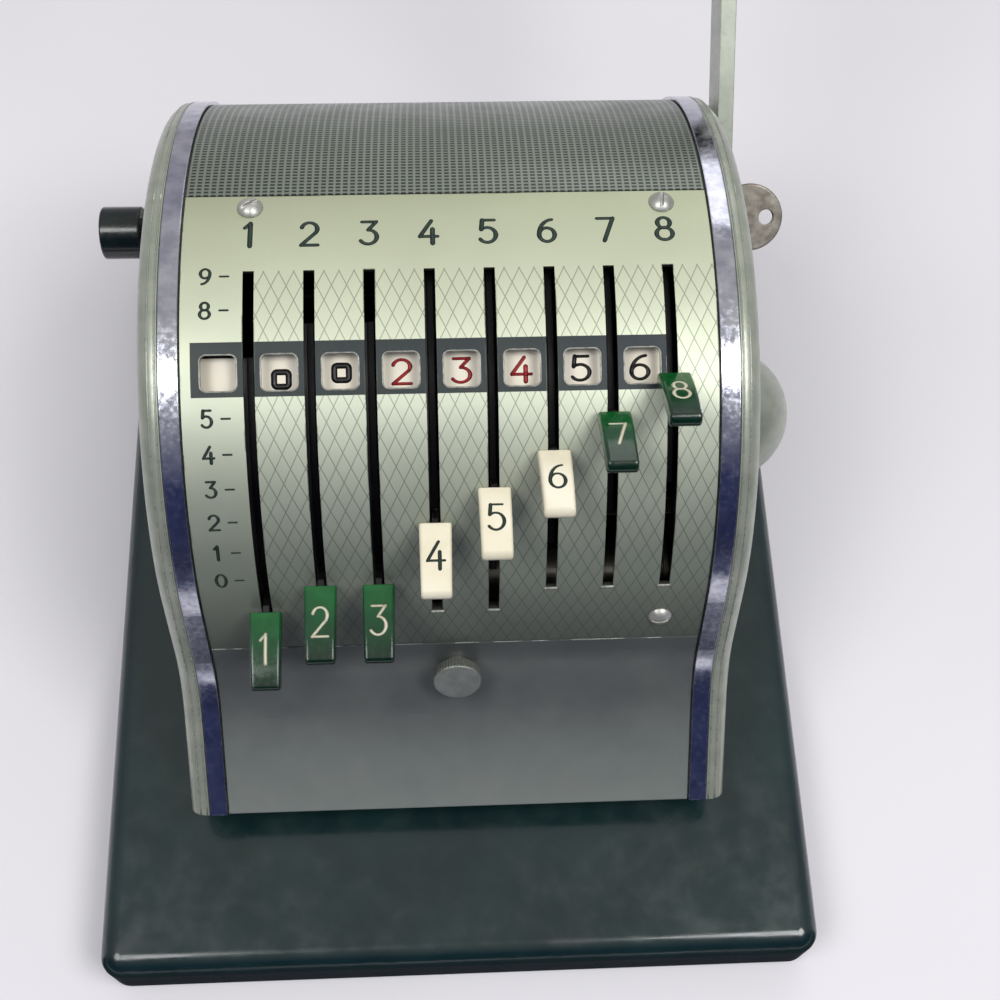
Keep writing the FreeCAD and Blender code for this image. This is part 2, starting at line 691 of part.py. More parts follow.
def make_side_panel(label, side):
    """Cast panel: a flat side, a rounded rim, a seat for the trim strip and a shelf."""
    body = new_body(label)
    crest, seat = size("crest_rise"), size("crest_rise - trim_thick + 0.2")
    rim_base = size("skin_rise - skin - seam_gap")
    grow(body, [panel_loop(crest)], *span(side, "panel_inner", "half_body"))
    grow(body, [skin_loop(*WHOLE_OUTLINE, rim_base, crest)],
         *span(side, "trim_outer", "panel_inner"))
    grow(body, [skin_loop(*WHOLE_OUTLINE, rim_base, seat)],
         *span(side, "trim_inner", "trim_outer"))
    shelf = skin_base - size("seat_gap")
    grow(body, [skin_loop(*WHOLE_OUTLINE, shelf - size("shelf_thick"), shelf)],
         *span(side, "shelf_inner", "panel_inner"))
    crest_line = Part.Wire([edge.toShape() for edge in outline_edges(*WHOLE_OUTLINE, crest)])

    def outer_corner(edge):
        middle = edge.valueAt((edge.FirstParameter + edge.LastParameter) / 2)
        if abs(middle.x - side * half_body) > 0.01 or edge.BoundBox.XLength > 0.01:
            return False
        return Part.Vertex(0, middle.y, middle.z).distToShape(crest_line)[0] < 0.01

    round_edges(body, "rim_round", outer_corner)
    holes = [circle_loop(spot.y, spot.z, "screw_bore") for spot in side_screws_of(side)]
    if side > 0:
        holes.append(circle_loop(*pivot, "handle_bore"))
        holes.append(circle_loop(*lock_place, "lock_radius + seat_gap"))
    else:
        holes.append(circle_loop(*knob_place, "spool_bore"))
    cut(body, holes, *span(side, "panel_inner - 1", "half_body + 1"))


def make_trim(label, side):
    """Polished strip along the rim, from the lip over the crown and down the back."""
    body = new_body(label)
    low = size("crest_rise - trim_thick + 0.2 + seat_gap")
    loop = skin_loop((REAR, 180.0), OUTLINE_END, low, low + size("trim_thick"))
    grow(body, [loop], *span(side, "trim_inner", "trim_outer - seam_gap / 2"))


def make_covers():
    """Sheet covers of the back and the crown, and the apron with its turned-in lip."""
    low, high = skin_base, size("skin_rise")
    gap_angle = math.degrees(size("seam_gap") / skin_radius)
    joint, rear_joint = size("cover_joint"), size("rear_joint")
    across = ("-skin_half", "2 * skin_half")
    top = new_body("top_cover")
    grow(top, [skin_loop((REAR, rear_joint), (REAR, joint + gap_angle), low, high)], *across)
    rear = new_body("rear_cover")
    start = (BACK, size("base_drop - seam_gap"))
    grow(rear, [skin_loop(start, (REAR, rear_joint + gap_angle), low, high)], *across)
    apron = new_body("apron_panel")
    seam = (RUN, size("seam_run + seam_gap / 2"))
    grow(apron, [skin_loop(seam, OUTLINE_END, low, high)], *across)
    back = (LIP, size("lip_run - skin"))
    under = size("skin_rise - skin - shelf_thick - lip_depth")
    hem = [outline_point(OUTLINE_END, high), outline_point(OUTLINE_END, under),
           outline_point(back, under), outline_point(back, high)]
    grow(apron, [polygon(hem)], "0.2 - shelf_inner", "2 * shelf_inner - 0.4")
    drill_skin(apron, (SWEEP, size("thumb_sweep")), 0.0, "thumb_bore")


def tilted_sketch(body, station, along, loops):
    """Sketch square to the outline, just above the covers."""
    sketch = body.newObject("Sketcher::SketchObject", body.Label + "_square")
    sketch.AttachmentSupport = [(origin_item(body, "XZ_Plane"), "")]
    sketch.MapMode = "FlatFace"
    top = outline_point(station, size("skin_rise") + 1)
    turn = Rotation(Vector(1, 0, 0), -outline_facing(station))
    sketch.AttachmentOffset = Placement(Vector(along, top.z, -top.y), turn)
    draw(sketch, loops, lambda edge: edge)
    return sketch


def drill_skin(body, station, along, radius):
    """Round hole through covers and rails, square to the outline."""
    sketch = tilted_sketch(body, station, along, [plan_circle(0, 0, radius)])
    pocket = body.newObject("PartDesign::Pocket", body.Label + "_hole")
    pocket.Profile = sketch
    pocket.setExpression("Length", rule("skin + rail_thick + 2"))
    return pocket


def face_screw_places():
    return [(station, along) for station in ((CROWN, size("screw_angle")), (RUN, size("screw_run")))
            for along in (size("screw_left"), size("screw_right"))]


def make_face_plate():
    """Curved plate with the lever slots, the number windows and four screw holes."""
    body = new_body("face_plate")
    start, end = (CROWN, size("cover_joint")), (RUN, size("seam_run - seam_gap / 2"))
    breaks = [size("window_angle") + step for step in (24, 15, 6, -6, -15, -24, -33, -42)]
    grow(body, [divided_loop(start, end, skin_base, size("skin_rise"), breaks)],
         "-skin_half", "2 * skin_half")
    low, high = skin_radius - 2 * size("skin"), skin_radius + 2 * size("skin")
    short_slots = len(lever_places) - LONG_SLOTS
    for first, count, bottom in ((0, LONG_SLOTS, "slot_low"),
                                 (LONG_SLOTS, short_slots, "slot_low_right")):
        loop = sector_loop(low, high, size(bottom), size("slot_top"))
        slot = cut(body, [loop], f"slot_first + slot_pitch * {first} - slot_width / 2",
                   "slot_width")
        row_of(body, slot, "slot_pitch", count)
    half = size("window_size") / 2
    outline = plan_box(-half, half, -half, half, size("window_corner"))
    window = body.newObject("PartDesign::Pocket", "window_cut")
    window.Profile = tilted_sketch(body, (CROWN, size("window_angle")),
                                   lever_places[0] - size("window_shift"), [outline])
    window.setExpression("Length", rule("skin + 2"))
    row_of(body, window, "slot_pitch", len(lever_places))
    for station, along in face_screw_places():
        drill_skin(body, station, along, "screw_bore")
    for feature in body.Group:
        if hasattr(feature, "Refine"):
            feature.Refine = False


def make_rails():
    """Two bars behind the face plate and the apron, which take their screws."""
    body = new_body("cover_rails")
    high = skin_base - size("seat_gap")
    low = high - size("rail_thick")
    half_angle = math.degrees(size("rail_width") / 2 / skin_radius)
    upper = skin_loop((CROWN, size("screw_angle") + half_angle),
                      (CROWN, size("screw_angle") - half_angle), low, high)
    lower = skin_loop((RUN, size("screw_run") - 4), (SWEEP, size("thumb_sweep") + 6.0), low, high)
    for loop in (upper, lower):
        grow(body, [loop], "seat_gap - shelf_inner", "2 * (shelf_inner - seat_gap)")
    for station, along in face_screw_places():
        drill_skin(body, station, along, "screw_bore")
    drill_skin(body, (SWEEP, size("thumb_sweep")), 0.0, "thumb_bore")


def round_head_screw(length):
    """Slotted screw along Z, with its head above nought."""
    head, dome = size("screw_head"), size("screw_dome")
    ball = (head * head + dome * dome) / (2 * dome)
    cap = Part.makeSphere(ball, Vector(0, 0, dome - ball))
    cap = cap.common(Part.makeCylinder(head, dome))
    slot = Part.makeBox(3 * head, size("screw_slot"), dome,
                        Vector(-1.5 * head, -size("screw_slot") / 2, dome * 0.5))
    return cap.cut(slot).fuse(Part.makeCylinder(size("screw_shank"), length, Vector(0, 0, -length)))


def make_face_screws():
    screws = []
    for number, (station, along) in enumerate(face_screw_places()):
        screw = round_head_screw(size("skin + rail_thick"))
        seat = outline_point(station, size("skin_rise + seat_gap"))
        turn = Rotation(Vector(1, 0, 0), 90 - outline_facing(station))
        turn = turn * Rotation(Vector(0, 0, 1), 35 + 50 * number)
        screw.Placement = Placement(seat + Vector(along, 0, 0), turn)
        screws.append(screw)
    shaped("face_screws", Part.makeCompound(screws))


def make_side_screws():
    """Screws that hold the side panels to the frame plates."""
    screws = []
    for side in (-1, 1):
        for number, spot in enumerate(side_screws_of(side)):
            screw = round_head_screw(size("half_body - frame_outer + 1.5"))
            turn = Rotation(Vector(0, 1, 0), 90 * side)
            turn = turn * Rotation(Vector(0, 0, 1), 20 + 65 * number)
            seat = Vector(side * size("half_body + seat_gap"), spot.y, spot.z)
            screw.Placement = Placement(seat, turn)
            screws.append(screw)
    shaped("side_screws", Part.makeCompound(screws))


def make_check_guide():
    """Sheet under the body that leads the check to the print line, with a stop behind."""
    body = new_body("check_guide")
    thick = size("guide_thick")
    front = Vector(0, lip_under.y + 2, guide_height(lip_under.y + 2))
    rear = size("neck_front") - 0.3
    stop = base_top + size("seat_gap")
    rise = Vector(0, 0, thick)
    loop = [front, guide_bend, (rear - thick, throat_top), (rear - thick, stop), (rear, stop),
            (rear, throat_top + thick), guide_bend + rise, front + rise]
    grow(body, [polygon(loop)], "seat_gap - panel_inner", "2 * (panel_inner - seat_gap)")
    gap, half = size("type_gap"), size("platen_length") / 2 + 0.8
    plan_cut(body, [plan_box(-half, half, -gap, gap)], "throat - base_drop - 1", "guide_thick + 2")


make_side_panel("left_side_panel", -1)
make_side_panel("right_side_panel", 1)
make_trim("left_trim_strip", -1)
make_trim("right_trim_strip", 1)
make_covers()
make_face_plate()
make_rails()
make_face_screws()
make_side_screws()
make_check_guide()


# ---------------------------------------------------------------- frame
TIE_RODS = [polar(size("rim_radius - rod_inset"), size("rod_angle"))]
TIE_RODS += [outline_point(station, -size("rod_inset"))
             for station in ((BACK, size("base_drop - rod_rise")), (LIP, 0.0))]
guide_rod_drop = size("guide_rod_radius - type_radius - ribbon_gap")
GUIDE_RODS = [Vector(0, -size("guide_rod_span"), guide_rod_drop),
              Vector(0, size("guide_rod_span"), guide_rod_drop),
              Vector(0, size("rear_guide_y"), -size("rear_guide_drop"))]
spring_peg = Vector(0, strap_rear + size("peg_back"), base_top + size("peg_rise"))


def frame_loop():
    """Side view of a frame plate: inside the rim, above the guide and down to the base."""
    margin = -size("frame_margin")
    stations = [(REAR, angle) for angle in (172, 145, 118)]
    stations += [(CROWN, angle) for angle in (91, 64, 37)]
    stations += [(RUN, 0.0), (RUN, size("straight_run")), (SWEEP, 14.0), (LIP, 0.0)]
    points = [outline_point(station, margin) for station in stations]
    ledge = size("guide_thick + guide_ledge")
    front, bend, rear = points[-1].y, guide_bend.y, size("neck_front") + 4
    lower = [(front, guide_height(front) + ledge + 1), (bend - 6, guide_height(bend - 6) + ledge),
             (rear, throat_top + ledge), (rear, base_top)]
    rear_foot = outline_point((BACK, size("base_drop")), margin)
    return polygon(points + lower + [rear_foot])


def make_frame_plate(label, side):
    """Pressed steel plate that carries the shafts, with a foot bent out over the base."""
    body = new_body(label)
    screws = [(spot.y, spot.z) for spot in side_screws_of(side)]
    holes = [circle_loop(0, 0, "shaft_bore"), circle_loop(*knob_place, "spool_bore"),
             circle_loop(*front_place, "spool_bore")]
    holes += [circle_loop(spot.y, spot.z, "rod_radius + seat_gap") for spot in TIE_RODS]
    holes += [circle_loop(spot.y, spot.z, "guide_rod_radius + seat_gap") for spot in GUIDE_RODS]
    holes += [circle_loop(y, z, "screw_bore") for y, z in screws]
    if side > 0:
        holes.append(circle_loop(*pivot, "handle_bore"))
    grow(body, [frame_loop()] + holes, *span(side, "frame_inner", "frame_outer"))
    foot_start, foot_end = size("frame_foot_y"), size("frame_foot_y + frame_foot")
    foot = box_loop(foot_start, foot_end, base_top, base_top + size("frame_thick"))
    grow(body, [foot], *span(side, "frame_inner", "panel_inner - 1"))
    for y, z in screws:
        boss = [circle_loop(y, z, "screw_head"), circle_loop(y, z, "screw_bore")]
        grow(body, boss, *span(side, "frame_outer", "panel_inner - seat_gap"))
    if side > 0:
        peg = [circle_loop(spring_peg.y, spring_peg.z, "spring_peg")]
        grow(body, peg, "frame_outer - 0.5", "6")


def make_cross_rods():
    """Tie rods, and thinner rods that lead the ribbon under the type."""
    body = new_body("cross_rods")
    rods = [circle_loop(spot.y, spot.z, "rod_radius") for spot in TIE_RODS]
    rods += [circle_loop(spot.y, spot.z, "guide_rod_radius") for spot in GUIDE_RODS]
    grow(body, rods, "-frame_outer", "2 * frame_outer")


make_frame_plate("left_frame_plate", -1)
make_frame_plate("right_frame_plate", 1)
make_cross_rods()


# ---------------------------------------------------------------- levers
tongue_top = 0.1
tongue_wide = 2.9
band_first = size("window_angle - key_root") - STEP_ANGLE * 9.5
band_last = size("window_angle - key_root") + STEP_ANGLE * 1.5
type_last = -90 - size("key_root") + STEP_ANGLE * 1.5
type_first = -90 - size("key_root") - STEP_ANGLE * 9.5
notch_blank = -size("key_root") + STEP_ANGLE
key_lean = math.radians(size("key_slope"))
key_along = Vector(0, -math.cos(key_lean), -math.sin(key_lean))
key_inward = Vector(0, -key_along.z, key_along.y)
key_corner = Vector(0, -skin_radius - size("key_lift"), 0)


def tongue_points(clear):
    """Bent end of a lever in its key cap, grown by a clearance."""
    depth = size("key_root_thick") * 0.42 - clear
    thick = 1.7 + 2 * clear
    start = key_corner + key_inward * depth
    end = start + key_along * (size("key_length") * 0.66 + clear)
    rim = -size("band_radius")
    high, low = tongue_top + clear, tongue_top - tongue_wide - clear
    return [Vector(0, rim, high), Vector(0, -skin_radius - 0.6, high), start, end,
            end + key_inward * thick, start + key_inward * thick,
            Vector(0, -skin_radius + 0.4, low), Vector(0, rim, low)]


def place_lever(body, number):
    """Stand a lever's piece at its slot, turned to the figure that it shows."""
    angle = f"key_root + {STEP_ANGLE} * {LEVER_SETTINGS[number]}"
    body.Placement = Placement(Vector(), Rotation(Vector(-1, 0, 0), size(angle)))
    body.setExpression("Placement.Rotation.Angle", rule(angle))
    body.setExpression("Placement.Base.x", rule(f"slot_first + slot_pitch * {number}"))


def make_lever(body):
    """Steel lever: hub, spokes, rim for the number band, tongue for the key, type segment."""
    rim_high = size("band_radius") + 0.5
    rim_low = rim_high - size("ring_depth")
    core = size("hub_radius") - 1
    type_low = size("type_radius - type_relief - type_depth")
    bore = circle_loop(0, 0, "shaft_bore")
    grow(body, [circle_loop(0, 0, "hub_radius"), bore], "-half_hub", "hub_width")
    spoke = [(-core, 4.5), (-rim_low - 1, 3.0), (-rim_low - 1, -4.0), (-core, -5.0)]
    upper = [polar(core, 50), polar(rim_low + 1, 20), polar(rim_low + 1, 14), polar(core, 10)]
    plates = [[Part.Circle(Vector(), Vector(1, 0, 0), core)], polygon(spoke), polygon(upper),
              polygon(tongue_points(0.0)), sector_loop(rim_low, rim_high, band_first, band_last),
              sector_loop(core - 1, size("detent_radius"), notch_blank - STEP_ANGLE * 10.8,
                          notch_blank + STEP_ANGLE * 0.8),
              sector_loop(core - 1, type_low + 1, type_first, type_last)]
    centres = [polar(size("detent_radius"), notch_blank - STEP_ANGLE * n) for n in range(FIGURES)]
    notches = [[Part.Circle(spot, Vector(1, 0, 0), size("notch_radius"))] for spot in centres]
    grow(body, merged(plates, notches) + [bore], "-lever_thick / 2", "lever_thick")
    grow(body, [sector_loop(type_low, type_low + size("type_depth"), type_first, type_last)],
         "-type_width / 2", "type_width")
    figures = [-90 - size("key_root") + STEP_ANGLE * (1 - n) for n in range(FIGURES)]
    third = STEP_ANGLE / 3
    faces = [sector_loop(type_low + 1, size("type_radius"), a - third, a + third) for a in figures]
    grow(body, faces, "1.4 - type_width / 2", "type_width - 2.8")


def make_number_band(body):
    """Printed plastic band beside the lever's rim."""
    loop = sector_loop(size("band_radius - band_thick"), size("band_radius"),
                       band_first, band_last)
    grow(body, [loop], "-lever_thick / 2 - seat_gap - band_width", "band_width")


def make_key_cap(body):
    """Moulded key: a crowned face, narrower and round at its end, and a slot for the tongue."""
    root, thick, length = size("key_root_thick"), size("key_thick"), size("key_length")
    tip = key_corner + key_along * length
    crown = key_corner + key_along * (length / 2) - key_inward * 0.8
    tip_low = tip + key_inward * thick - key_along * 1.5
    tip_nose = tip + key_inward * (thick / 2) + key_along * 0.9
    root_low = key_corner + key_inward * root
    waist = key_corner + key_along * (length * 0.45) + key_inward * (root * 0.95)
    edges = [Part.Arc(key_corner, crown, tip), Part.Arc(tip, tip_nose, tip_low),
             Part.Arc(tip_low, waist, root_low), Part.LineSegment(root_low, key_corner)]
    grow(body, [edges], "-key_width / 2", "key_width")
    wide, narrow, outside = size("key_width") / 2, size("key_tip") / 2, size("key_width")
    near, far = root_low.y + 0.5, tip_nose.y - 0.5
    sides = [chain([(side * wide, near), (side * narrow, far),
                    (side * outside, far), (side * outside, near)]) for side in (-1, 1)]
    plan_cut(body, sides, "-key_length", "2 * key_length")
    round_edges(body, "key_edge", lambda e: e.BoundBox.XLength < 0.5 and e.Length > 4)
    cut(body, [polygon(tongue_points(size("seat_gap")))],
        "-lever_thick / 2 - seat_gap", "lever_thick + 2 * seat_gap")


def make_levers():
    for name, maker in (("lever", make_lever), ("number_band", make_number_band),
                        ("key_cap", make_key_cap)):
        for number in range(len(lever_places)):
            body = new_body(f"{name}_{number + 1}")
            maker(body)
            place_lever(body, number)


def make_lever_shaft():
    body = new_body("lever_shaft")
    grow(body, [circle_loop(0, 0, "shaft_radius")], "-frame_outer", "2 * frame_outer")


def make_spacers():
    """Tubes that keep the lever hubs apart and off the frame plates."""
    body = new_body("lever_spacers")
    ring = [circle_loop(0, 0, "hub_radius - 0.5"), circle_loop(0, 0, "shaft_bore")]
    last = f"slot_first + slot_pitch * {len(lever_places) - 1}"
    grow(body, ring, "0.1 - frame_inner", "slot_first + frame_inner - half_hub - 0.2")
    grow(body, ring, f"{last} + half_hub + 0.1", f"frame_inner - ({last}) - half_hub - 0.2")
    first = grow(body, ring, "slot_first + half_hub + 0.1", "slot_pitch - hub_width - 0.2")
    row_of(body, first, "slot_pitch", len(lever_places) - 1)


def make_detent_comb():
    """Spring steel comb between the frame plates, one finger to each notched lever."""
    body = new_body("detent_comb")
    tip = -size("detent_radius") - 0.3
    back = tip - size("comb_reach")
    grow(body, [box_loop(back, back + 1.2, -4.5, 4.5)], "0.1 - frame_inner",
         "2 * frame_inner - 0.2")
    for side in (-1, 1):
        tab = box_loop(back, back + 5, -4.5, 4.5)
        grow(body, [tab], *span(side, "frame_inner - 1.3", "frame_inner - 0.1"))
    finger = grow(body, [box_loop(back + 1, tip, -0.25, 0.25)], "slot_first - 2", "4")
    row_of(body, finger, "slot_pitch", len(lever_places))


make_levers()
make_lever_shaft()
make_spacers()
make_detent_comb()


# ---------------------------------------------------------------- ribbon
def tangent_points(first, first_radius, second, second_radius):
    """Points where a straight ribbon leaves one circle and meets the next, round the outside."""
    gap = second - first
    lean = math.asin((second_radius - first_radius) / gap.Length)
    normal = math.atan2(gap.z, gap.y) - math.pi / 2 - lean
    direction = Vector(0, math.cos(normal), math.sin(normal))
    return first + direction * first_radius, second + direction * second_radius


def make_ribbon():
    """Inked ribbon from the front spool, round the guide rods and up to the rear spool."""
    body = new_body("ribbon")
    roll, thin = size("spool_radius + ribbon_gap"), size("guide_rod_radius + ribbon_gap")
    circles = [(Vector(0, *front_place), roll)] + [(spot, thin) for spot in GUIDE_RODS]
    circles.append((Vector(0, *knob_place), roll))
    inner, outer = [], []
    for (first, low), (second, high) in zip(circles, circles[1:]):
        for extra, points in ((0.0, inner), (size("ribbon_thick"), outer)):
            points.extend(tangent_points(first, low + extra, second, high + extra))
    grow(body, [polygon(inner + outer[::-1])], "-ribbon_width / 2", "ribbon_width")


def make_spool(label, place, left):
    """Shaft with the ribbon roll between two flanges."""
    body = new_body(label, 0.0, place)
    grow(body, [circle_loop(0, 0, "spool_shaft")], f"-({left})", f"{left} + frame_outer")
    grow(body, [circle_loop(0, 0, "spool_radius")], "-half_ribbon", "2 * half_ribbon")
    for side in (-1, 1):
        grow(body, [circle_loop(0, 0, "spool_flange")],
             *span(side, "half_ribbon", "half_ribbon + flange_thick"))


def make_knob():
    """Turned knob with a collar, pressed on the rear spool's shaft."""
    body = new_body("ribbon_knob", 0.0, ("rear_spool_y", "rear_spool_z"))
    grow(body, [circle_loop(0, 0, "knob_radius")], "-knob_outer", "knob_length")
    round_edges(body, "0.6", lambda e: e.BoundBox.XLength < 0.01)
    grow(body, [circle_loop(0, 0, "spool_shaft + 1.5")], "-knob_inner - 0.5", "3")
    cut(body, [circle_loop(0, 0, "spool_shaft + seat_gap")], "-knob_seat - seat_gap",
        "knob_length + 5")


make_ribbon()
make_spool("rear_ribbon_spool", ("rear_spool_y", "rear_spool_z"), "knob_seat")
make_spool("front_ribbon_spool", ("front_spool_y", "front_spool_z"), "frame_outer")
make_knob()


# ---------------------------------------------------------------- handle
AT_PIVOT = ("pivot_y", "pivot_z")


def make_handle_arm():
    """Flat painted arm with a round eye on the handle shaft."""
    body = new_body("handle_arm", size("handle_angle"), AT_PIVOT)
    half, reach = size("arm_width") / 2, size("grip_start") + 24
    eye = size("hub_dome")
    join = math.sqrt(eye * eye - half * half)
    outline = [Part.Arc(Vector(0, join, half), Vector(0, -eye, 0), Vector(0, join, -half)),
               Part.LineSegment(Vector(0, join, half), Vector(0, reach, half)),
               Part.LineSegment(Vector(0, reach, half), Vector(0, reach, -half)),
               Part.LineSegment(Vector(0, reach, -half), Vector(0, join, -half))]
    grow(body, [outline, circle_loop(0, 0, "handle_shaft + seat_gap")], "arm_inner", "arm_thick")


def make_handle_hub():
    """Pressed dome that closes the end of the handle shaft."""
    body = new_body("handle_hub", size("handle_angle"), AT_PIVOT)
    dome, bore = size("hub_dome"), size("handle_shaft + seat_gap")
    foot = size("arm_outer + seat_gap")
    slant = dome * math.sqrt(0.5)
    points = [(foot + dome, 0), (foot + 4.2, 0), (foot + 4.2, bore), (foot, bore), (foot, dome)]
    corners = [Vector(*point, 0) for point in points]
    edges = [Part.LineSegment(a, b) for a, b in zip(corners, corners[1:])]
    edges.append(Part.Arc(corners[-1], Vector(foot + slant, slant, 0), corners[0]))
    spin(body, edges, "XY_Plane", "H_Axis")


def make_handle_grip():
    """Moulded grip, swelling towards its round end."""
    body = new_body("handle_grip", size("handle_angle"), AT_PIVOT)
    start, reach = size("grip_start"), size("handle_reach")
    full, neck = size("grip_radius"), size("grip_neck")
    shoulder = reach - full
    slant = full * math.sqrt(0.5)
    swell = Vector(neck + (full - neck) * 0.62, (start + shoulder) / 2, 0)
    points = [(0, reach), (0, start), (neck - 1, start), (neck, start + 1)]
    corners = [Vector(*point, 0) for point in points]
    edges = [Part.LineSegment(a, b) for a, b in zip(corners, corners[1:])]
    edges.append(Part.Arc(corners[-1], swell, Vector(full, shoulder, 0)))
    edges.append(Part.Arc(Vector(full, shoulder, 0), Vector(slant, shoulder + slant, 0), corners[0]))
    turned = spin(body, edges, "XY_Plane", "V_Axis")
    turned.Profile[0].setExpression("AttachmentOffset.Base.x", rule("arm_middle"))
    clear = size("seat_gap")
    half = size("arm_width") / 2 + clear
    socket = box_loop(start - 1, size("grip_start") + 24 + clear, -half, half)
    cut(body, [socket], "arm_inner - seat_gap", "arm_thick + 2 * seat_gap")


def make_handle_shaft():
    """Shaft with its lifting cam, whose edge rises evenly over the handle's swing."""
    body = new_body("handle_shaft", 0.0, AT_PIVOT)
    base, rise = size("cam_base"), size("cam_rise")
    stroke, steps = size("handle_stroke"), 12

    def at(radius, angle):
        return polar(radius, 180 - angle)

    spiral = [at(base + rise * n / steps, 90 - stroke * n / steps) for n in range(steps + 1)]
    curve = Part.BSplineCurve()
    curve.interpolate(spiral)
    top, full = base + rise, 90 - stroke
    nose, low, left = at(top, full - 22), at(base, -100), at(base, 180)
    edges = [curve, Part.Arc(spiral[-1], at(top, full - 11), nose), Part.LineSegment(nose, low),
             Part.Arc(low, at(base, -145), left), Part.Arc(left, at(base, 135), spiral[0])]
    grow(body, [circle_loop(0, 0, "handle_shaft")], "frame_inner + 0.1",
         "arm_outer + 4 - frame_inner - 0.1")
    grow(body, [edges], "cam_start", "cam_thick")


make_handle_arm()
make_handle_hub()
make_handle_grip()
make_handle_shaft()


# ---------------------------------------------------------------- platen
nose_z = size("pivot_z + cam_base + nose_radius + nose_gap")
spring_top = Vector(0, spring_peg.y, nose_z + 1.5)


def make_lifter():
    """Steel lifter: a plate under the base top and a strap that hangs over the cam."""
    body = new_body("platen_lifter")
    low = size("-lifter_drop - lifter_thick")
    strap_end = size("strap_start + strap_thick")
    plate = [plan_box(-size("platen_length") / 2, strap_end, -size("platen_width") / 2, strap_rear)]
    plate += [plan_circle(x, post_place, "post_radius + running_fit")
              for x in (-size("post_span"), size("post_span"))]
    plan_pad(body, plate, "-lifter_drop - lifter_thick", "lifter_thick")
    nose, nose_y, strap_top = size("nose_radius"), size("pivot_y"), nose_z + 6
    corners = [(nose_y + nose, nose_z), (strap_front, nose_z), (strap_front, low + 1),
               (strap_rear, low + 1), (strap_rear, strap_top), (nose_y - nose, strap_top),
               (nose_y - nose, nose_z)]
    points = [Vector(0, *corner) for corner in corners]
    edges = [Part.LineSegment(a, b) for a, b in zip(points, points[1:])]
    edges.append(Part.Arc(points[-1], Vector(0, nose_y, nose_z - nose), points[0]))
    grow(body, [edges], "strap_start", "strap_thick")
    tab = box_loop(strap_rear - 1, spring_top.y + 3, nose_z - 0.5, nose_z + 4.5)
    grow(body, [tab], "strap_start", "1")
    grow(body, [circle_loop(spring_top.y, spring_top.z, "spring_peg")],
         "strap_start", "strap_thick")


def make_platen():
    """Bar with a hard face that stands on the lifter and fills the slot in the base."""
    body = new_body("platen")
    half, deep = size("platen_length") / 2, size("platen_width") / 2
    plan_pad(body, [plan_box(-half, half, -deep, deep)], "platen_low",
             "platen_proud - base_drop - platen_low")


def make_return_spring():
    """Extension spring between the frame's peg and the lifter's."""
    wire, peg = size("spring_wire"), size("spring_peg")
    radius = size("spring_radius") - wire
    eye = peg + wire + size("seat_gap")
    centre = Vector(frame_outer + 3.4, spring_peg.y + radius, 0)
    low, high = spring_peg.z + eye + 2, spring_top.z - eye - 2
    turns = 12
    path = Part.Wire(Part.makeHelix((high - low) / turns, high - low, radius).Edges)
    section = Part.Wire(Part.makeCircle(wire, Vector(radius, 0, 0), Vector(0, 1, 0)))
    coil = path.makePipeShell([section], True, True)
    coil.rotate(Vector(), Vector(0, 0, 1), -90)
    coil.translate(centre + Vector(0, 0, low))
    start = Vector(centre.x, spring_peg.y, 0)
    ends = []
    for end, base in ((spring_peg, spring_peg.z + eye), (spring_top, high)):
        ends.append(Part.makeCylinder(wire, 2, start + Vector(0, 0, base)))
        ends.append(Part.makeTorus(eye, wire, Vector(centre.x, end.y, end.z), Vector(1, 0, 0)))
    coil = coil.multiFuse(ends)
    shaped("return_spring", coil)


make_lifter()
make_platen()
make_return_spring()


# ---------------------------------------------------------------- lock and thumb screw
AT_LOCK = ("lock_y", "lock_z")
bow_centre = size("lock_face + bow_gap + bow_radius")


def make_lock_body():
    """Lock shell through the right panel, with a round head outside it."""
    body = new_body("lock_body", 0.0, AT_LOCK)
    bore = circle_loop(0, 0, "plug_bore")
    grow(body, [circle_loop(0, 0, "lock_head"), bore], "half_body + seat_gap",
         "lock_proud - seat_gap")
    face, rim = size("lock_face"), size("plug_bore") + 1

    def front_rim(edge):
        box = edge.BoundBox
        return box.XMin > face - 0.01 and box.YMax > rim

    round_edges(body, "1.2", front_rim)
    grow(body, [circle_loop(0, 0, "lock_radius"), bore], "lock_inner",
         "half_body + 0.5 - lock_inner")


def make_lock_plug():
    """Plug with a keyway, and a bolt on its inner end."""
    body = new_body("lock_plug", size("handle_angle"), AT_LOCK)
    grow(body, [circle_loop(0, 0, "plug_radius")], "plug_end", "lock_face + 0.4 - plug_end")
    grow(body, [box_loop(-4, 4, 0, size("bolt_length"))], "plug_end", "2.2")
    wide, thick = size("blade_width + 0.2") / 2, size("blade_thick + 0.2") / 2
    cut(body, [box_loop(-wide, wide, -thick, thick)], "lock_inner + 3", "lock_face - lock_inner")


def make_key():
    """Flat key with a round bow, a hole in the bow and a blade in the keyway."""
    body = new_body("key", size("handle_angle"), AT_LOCK)
    plan_pad(body, [plan_circle(bow_centre, 0, "bow_radius")], "-1", "2")
    round_edges(body, "0.5", lambda e: e.BoundBox.ZLength < 0.01 and e.Length > 20)
    wide, thick = size("blade_width") / 2, size("blade_thick") / 2
    grow(body, [box_loop(-wide, wide, -thick, thick)], "lock_inner + 4",
         "lock_face + bow_gap + 1 - lock_inner - 4")
    hole = plan_circle(bow_centre + size("bow_radius") / 2, 0, "bow_hole")
    plan_cut(body, [hole], "-2", "4")


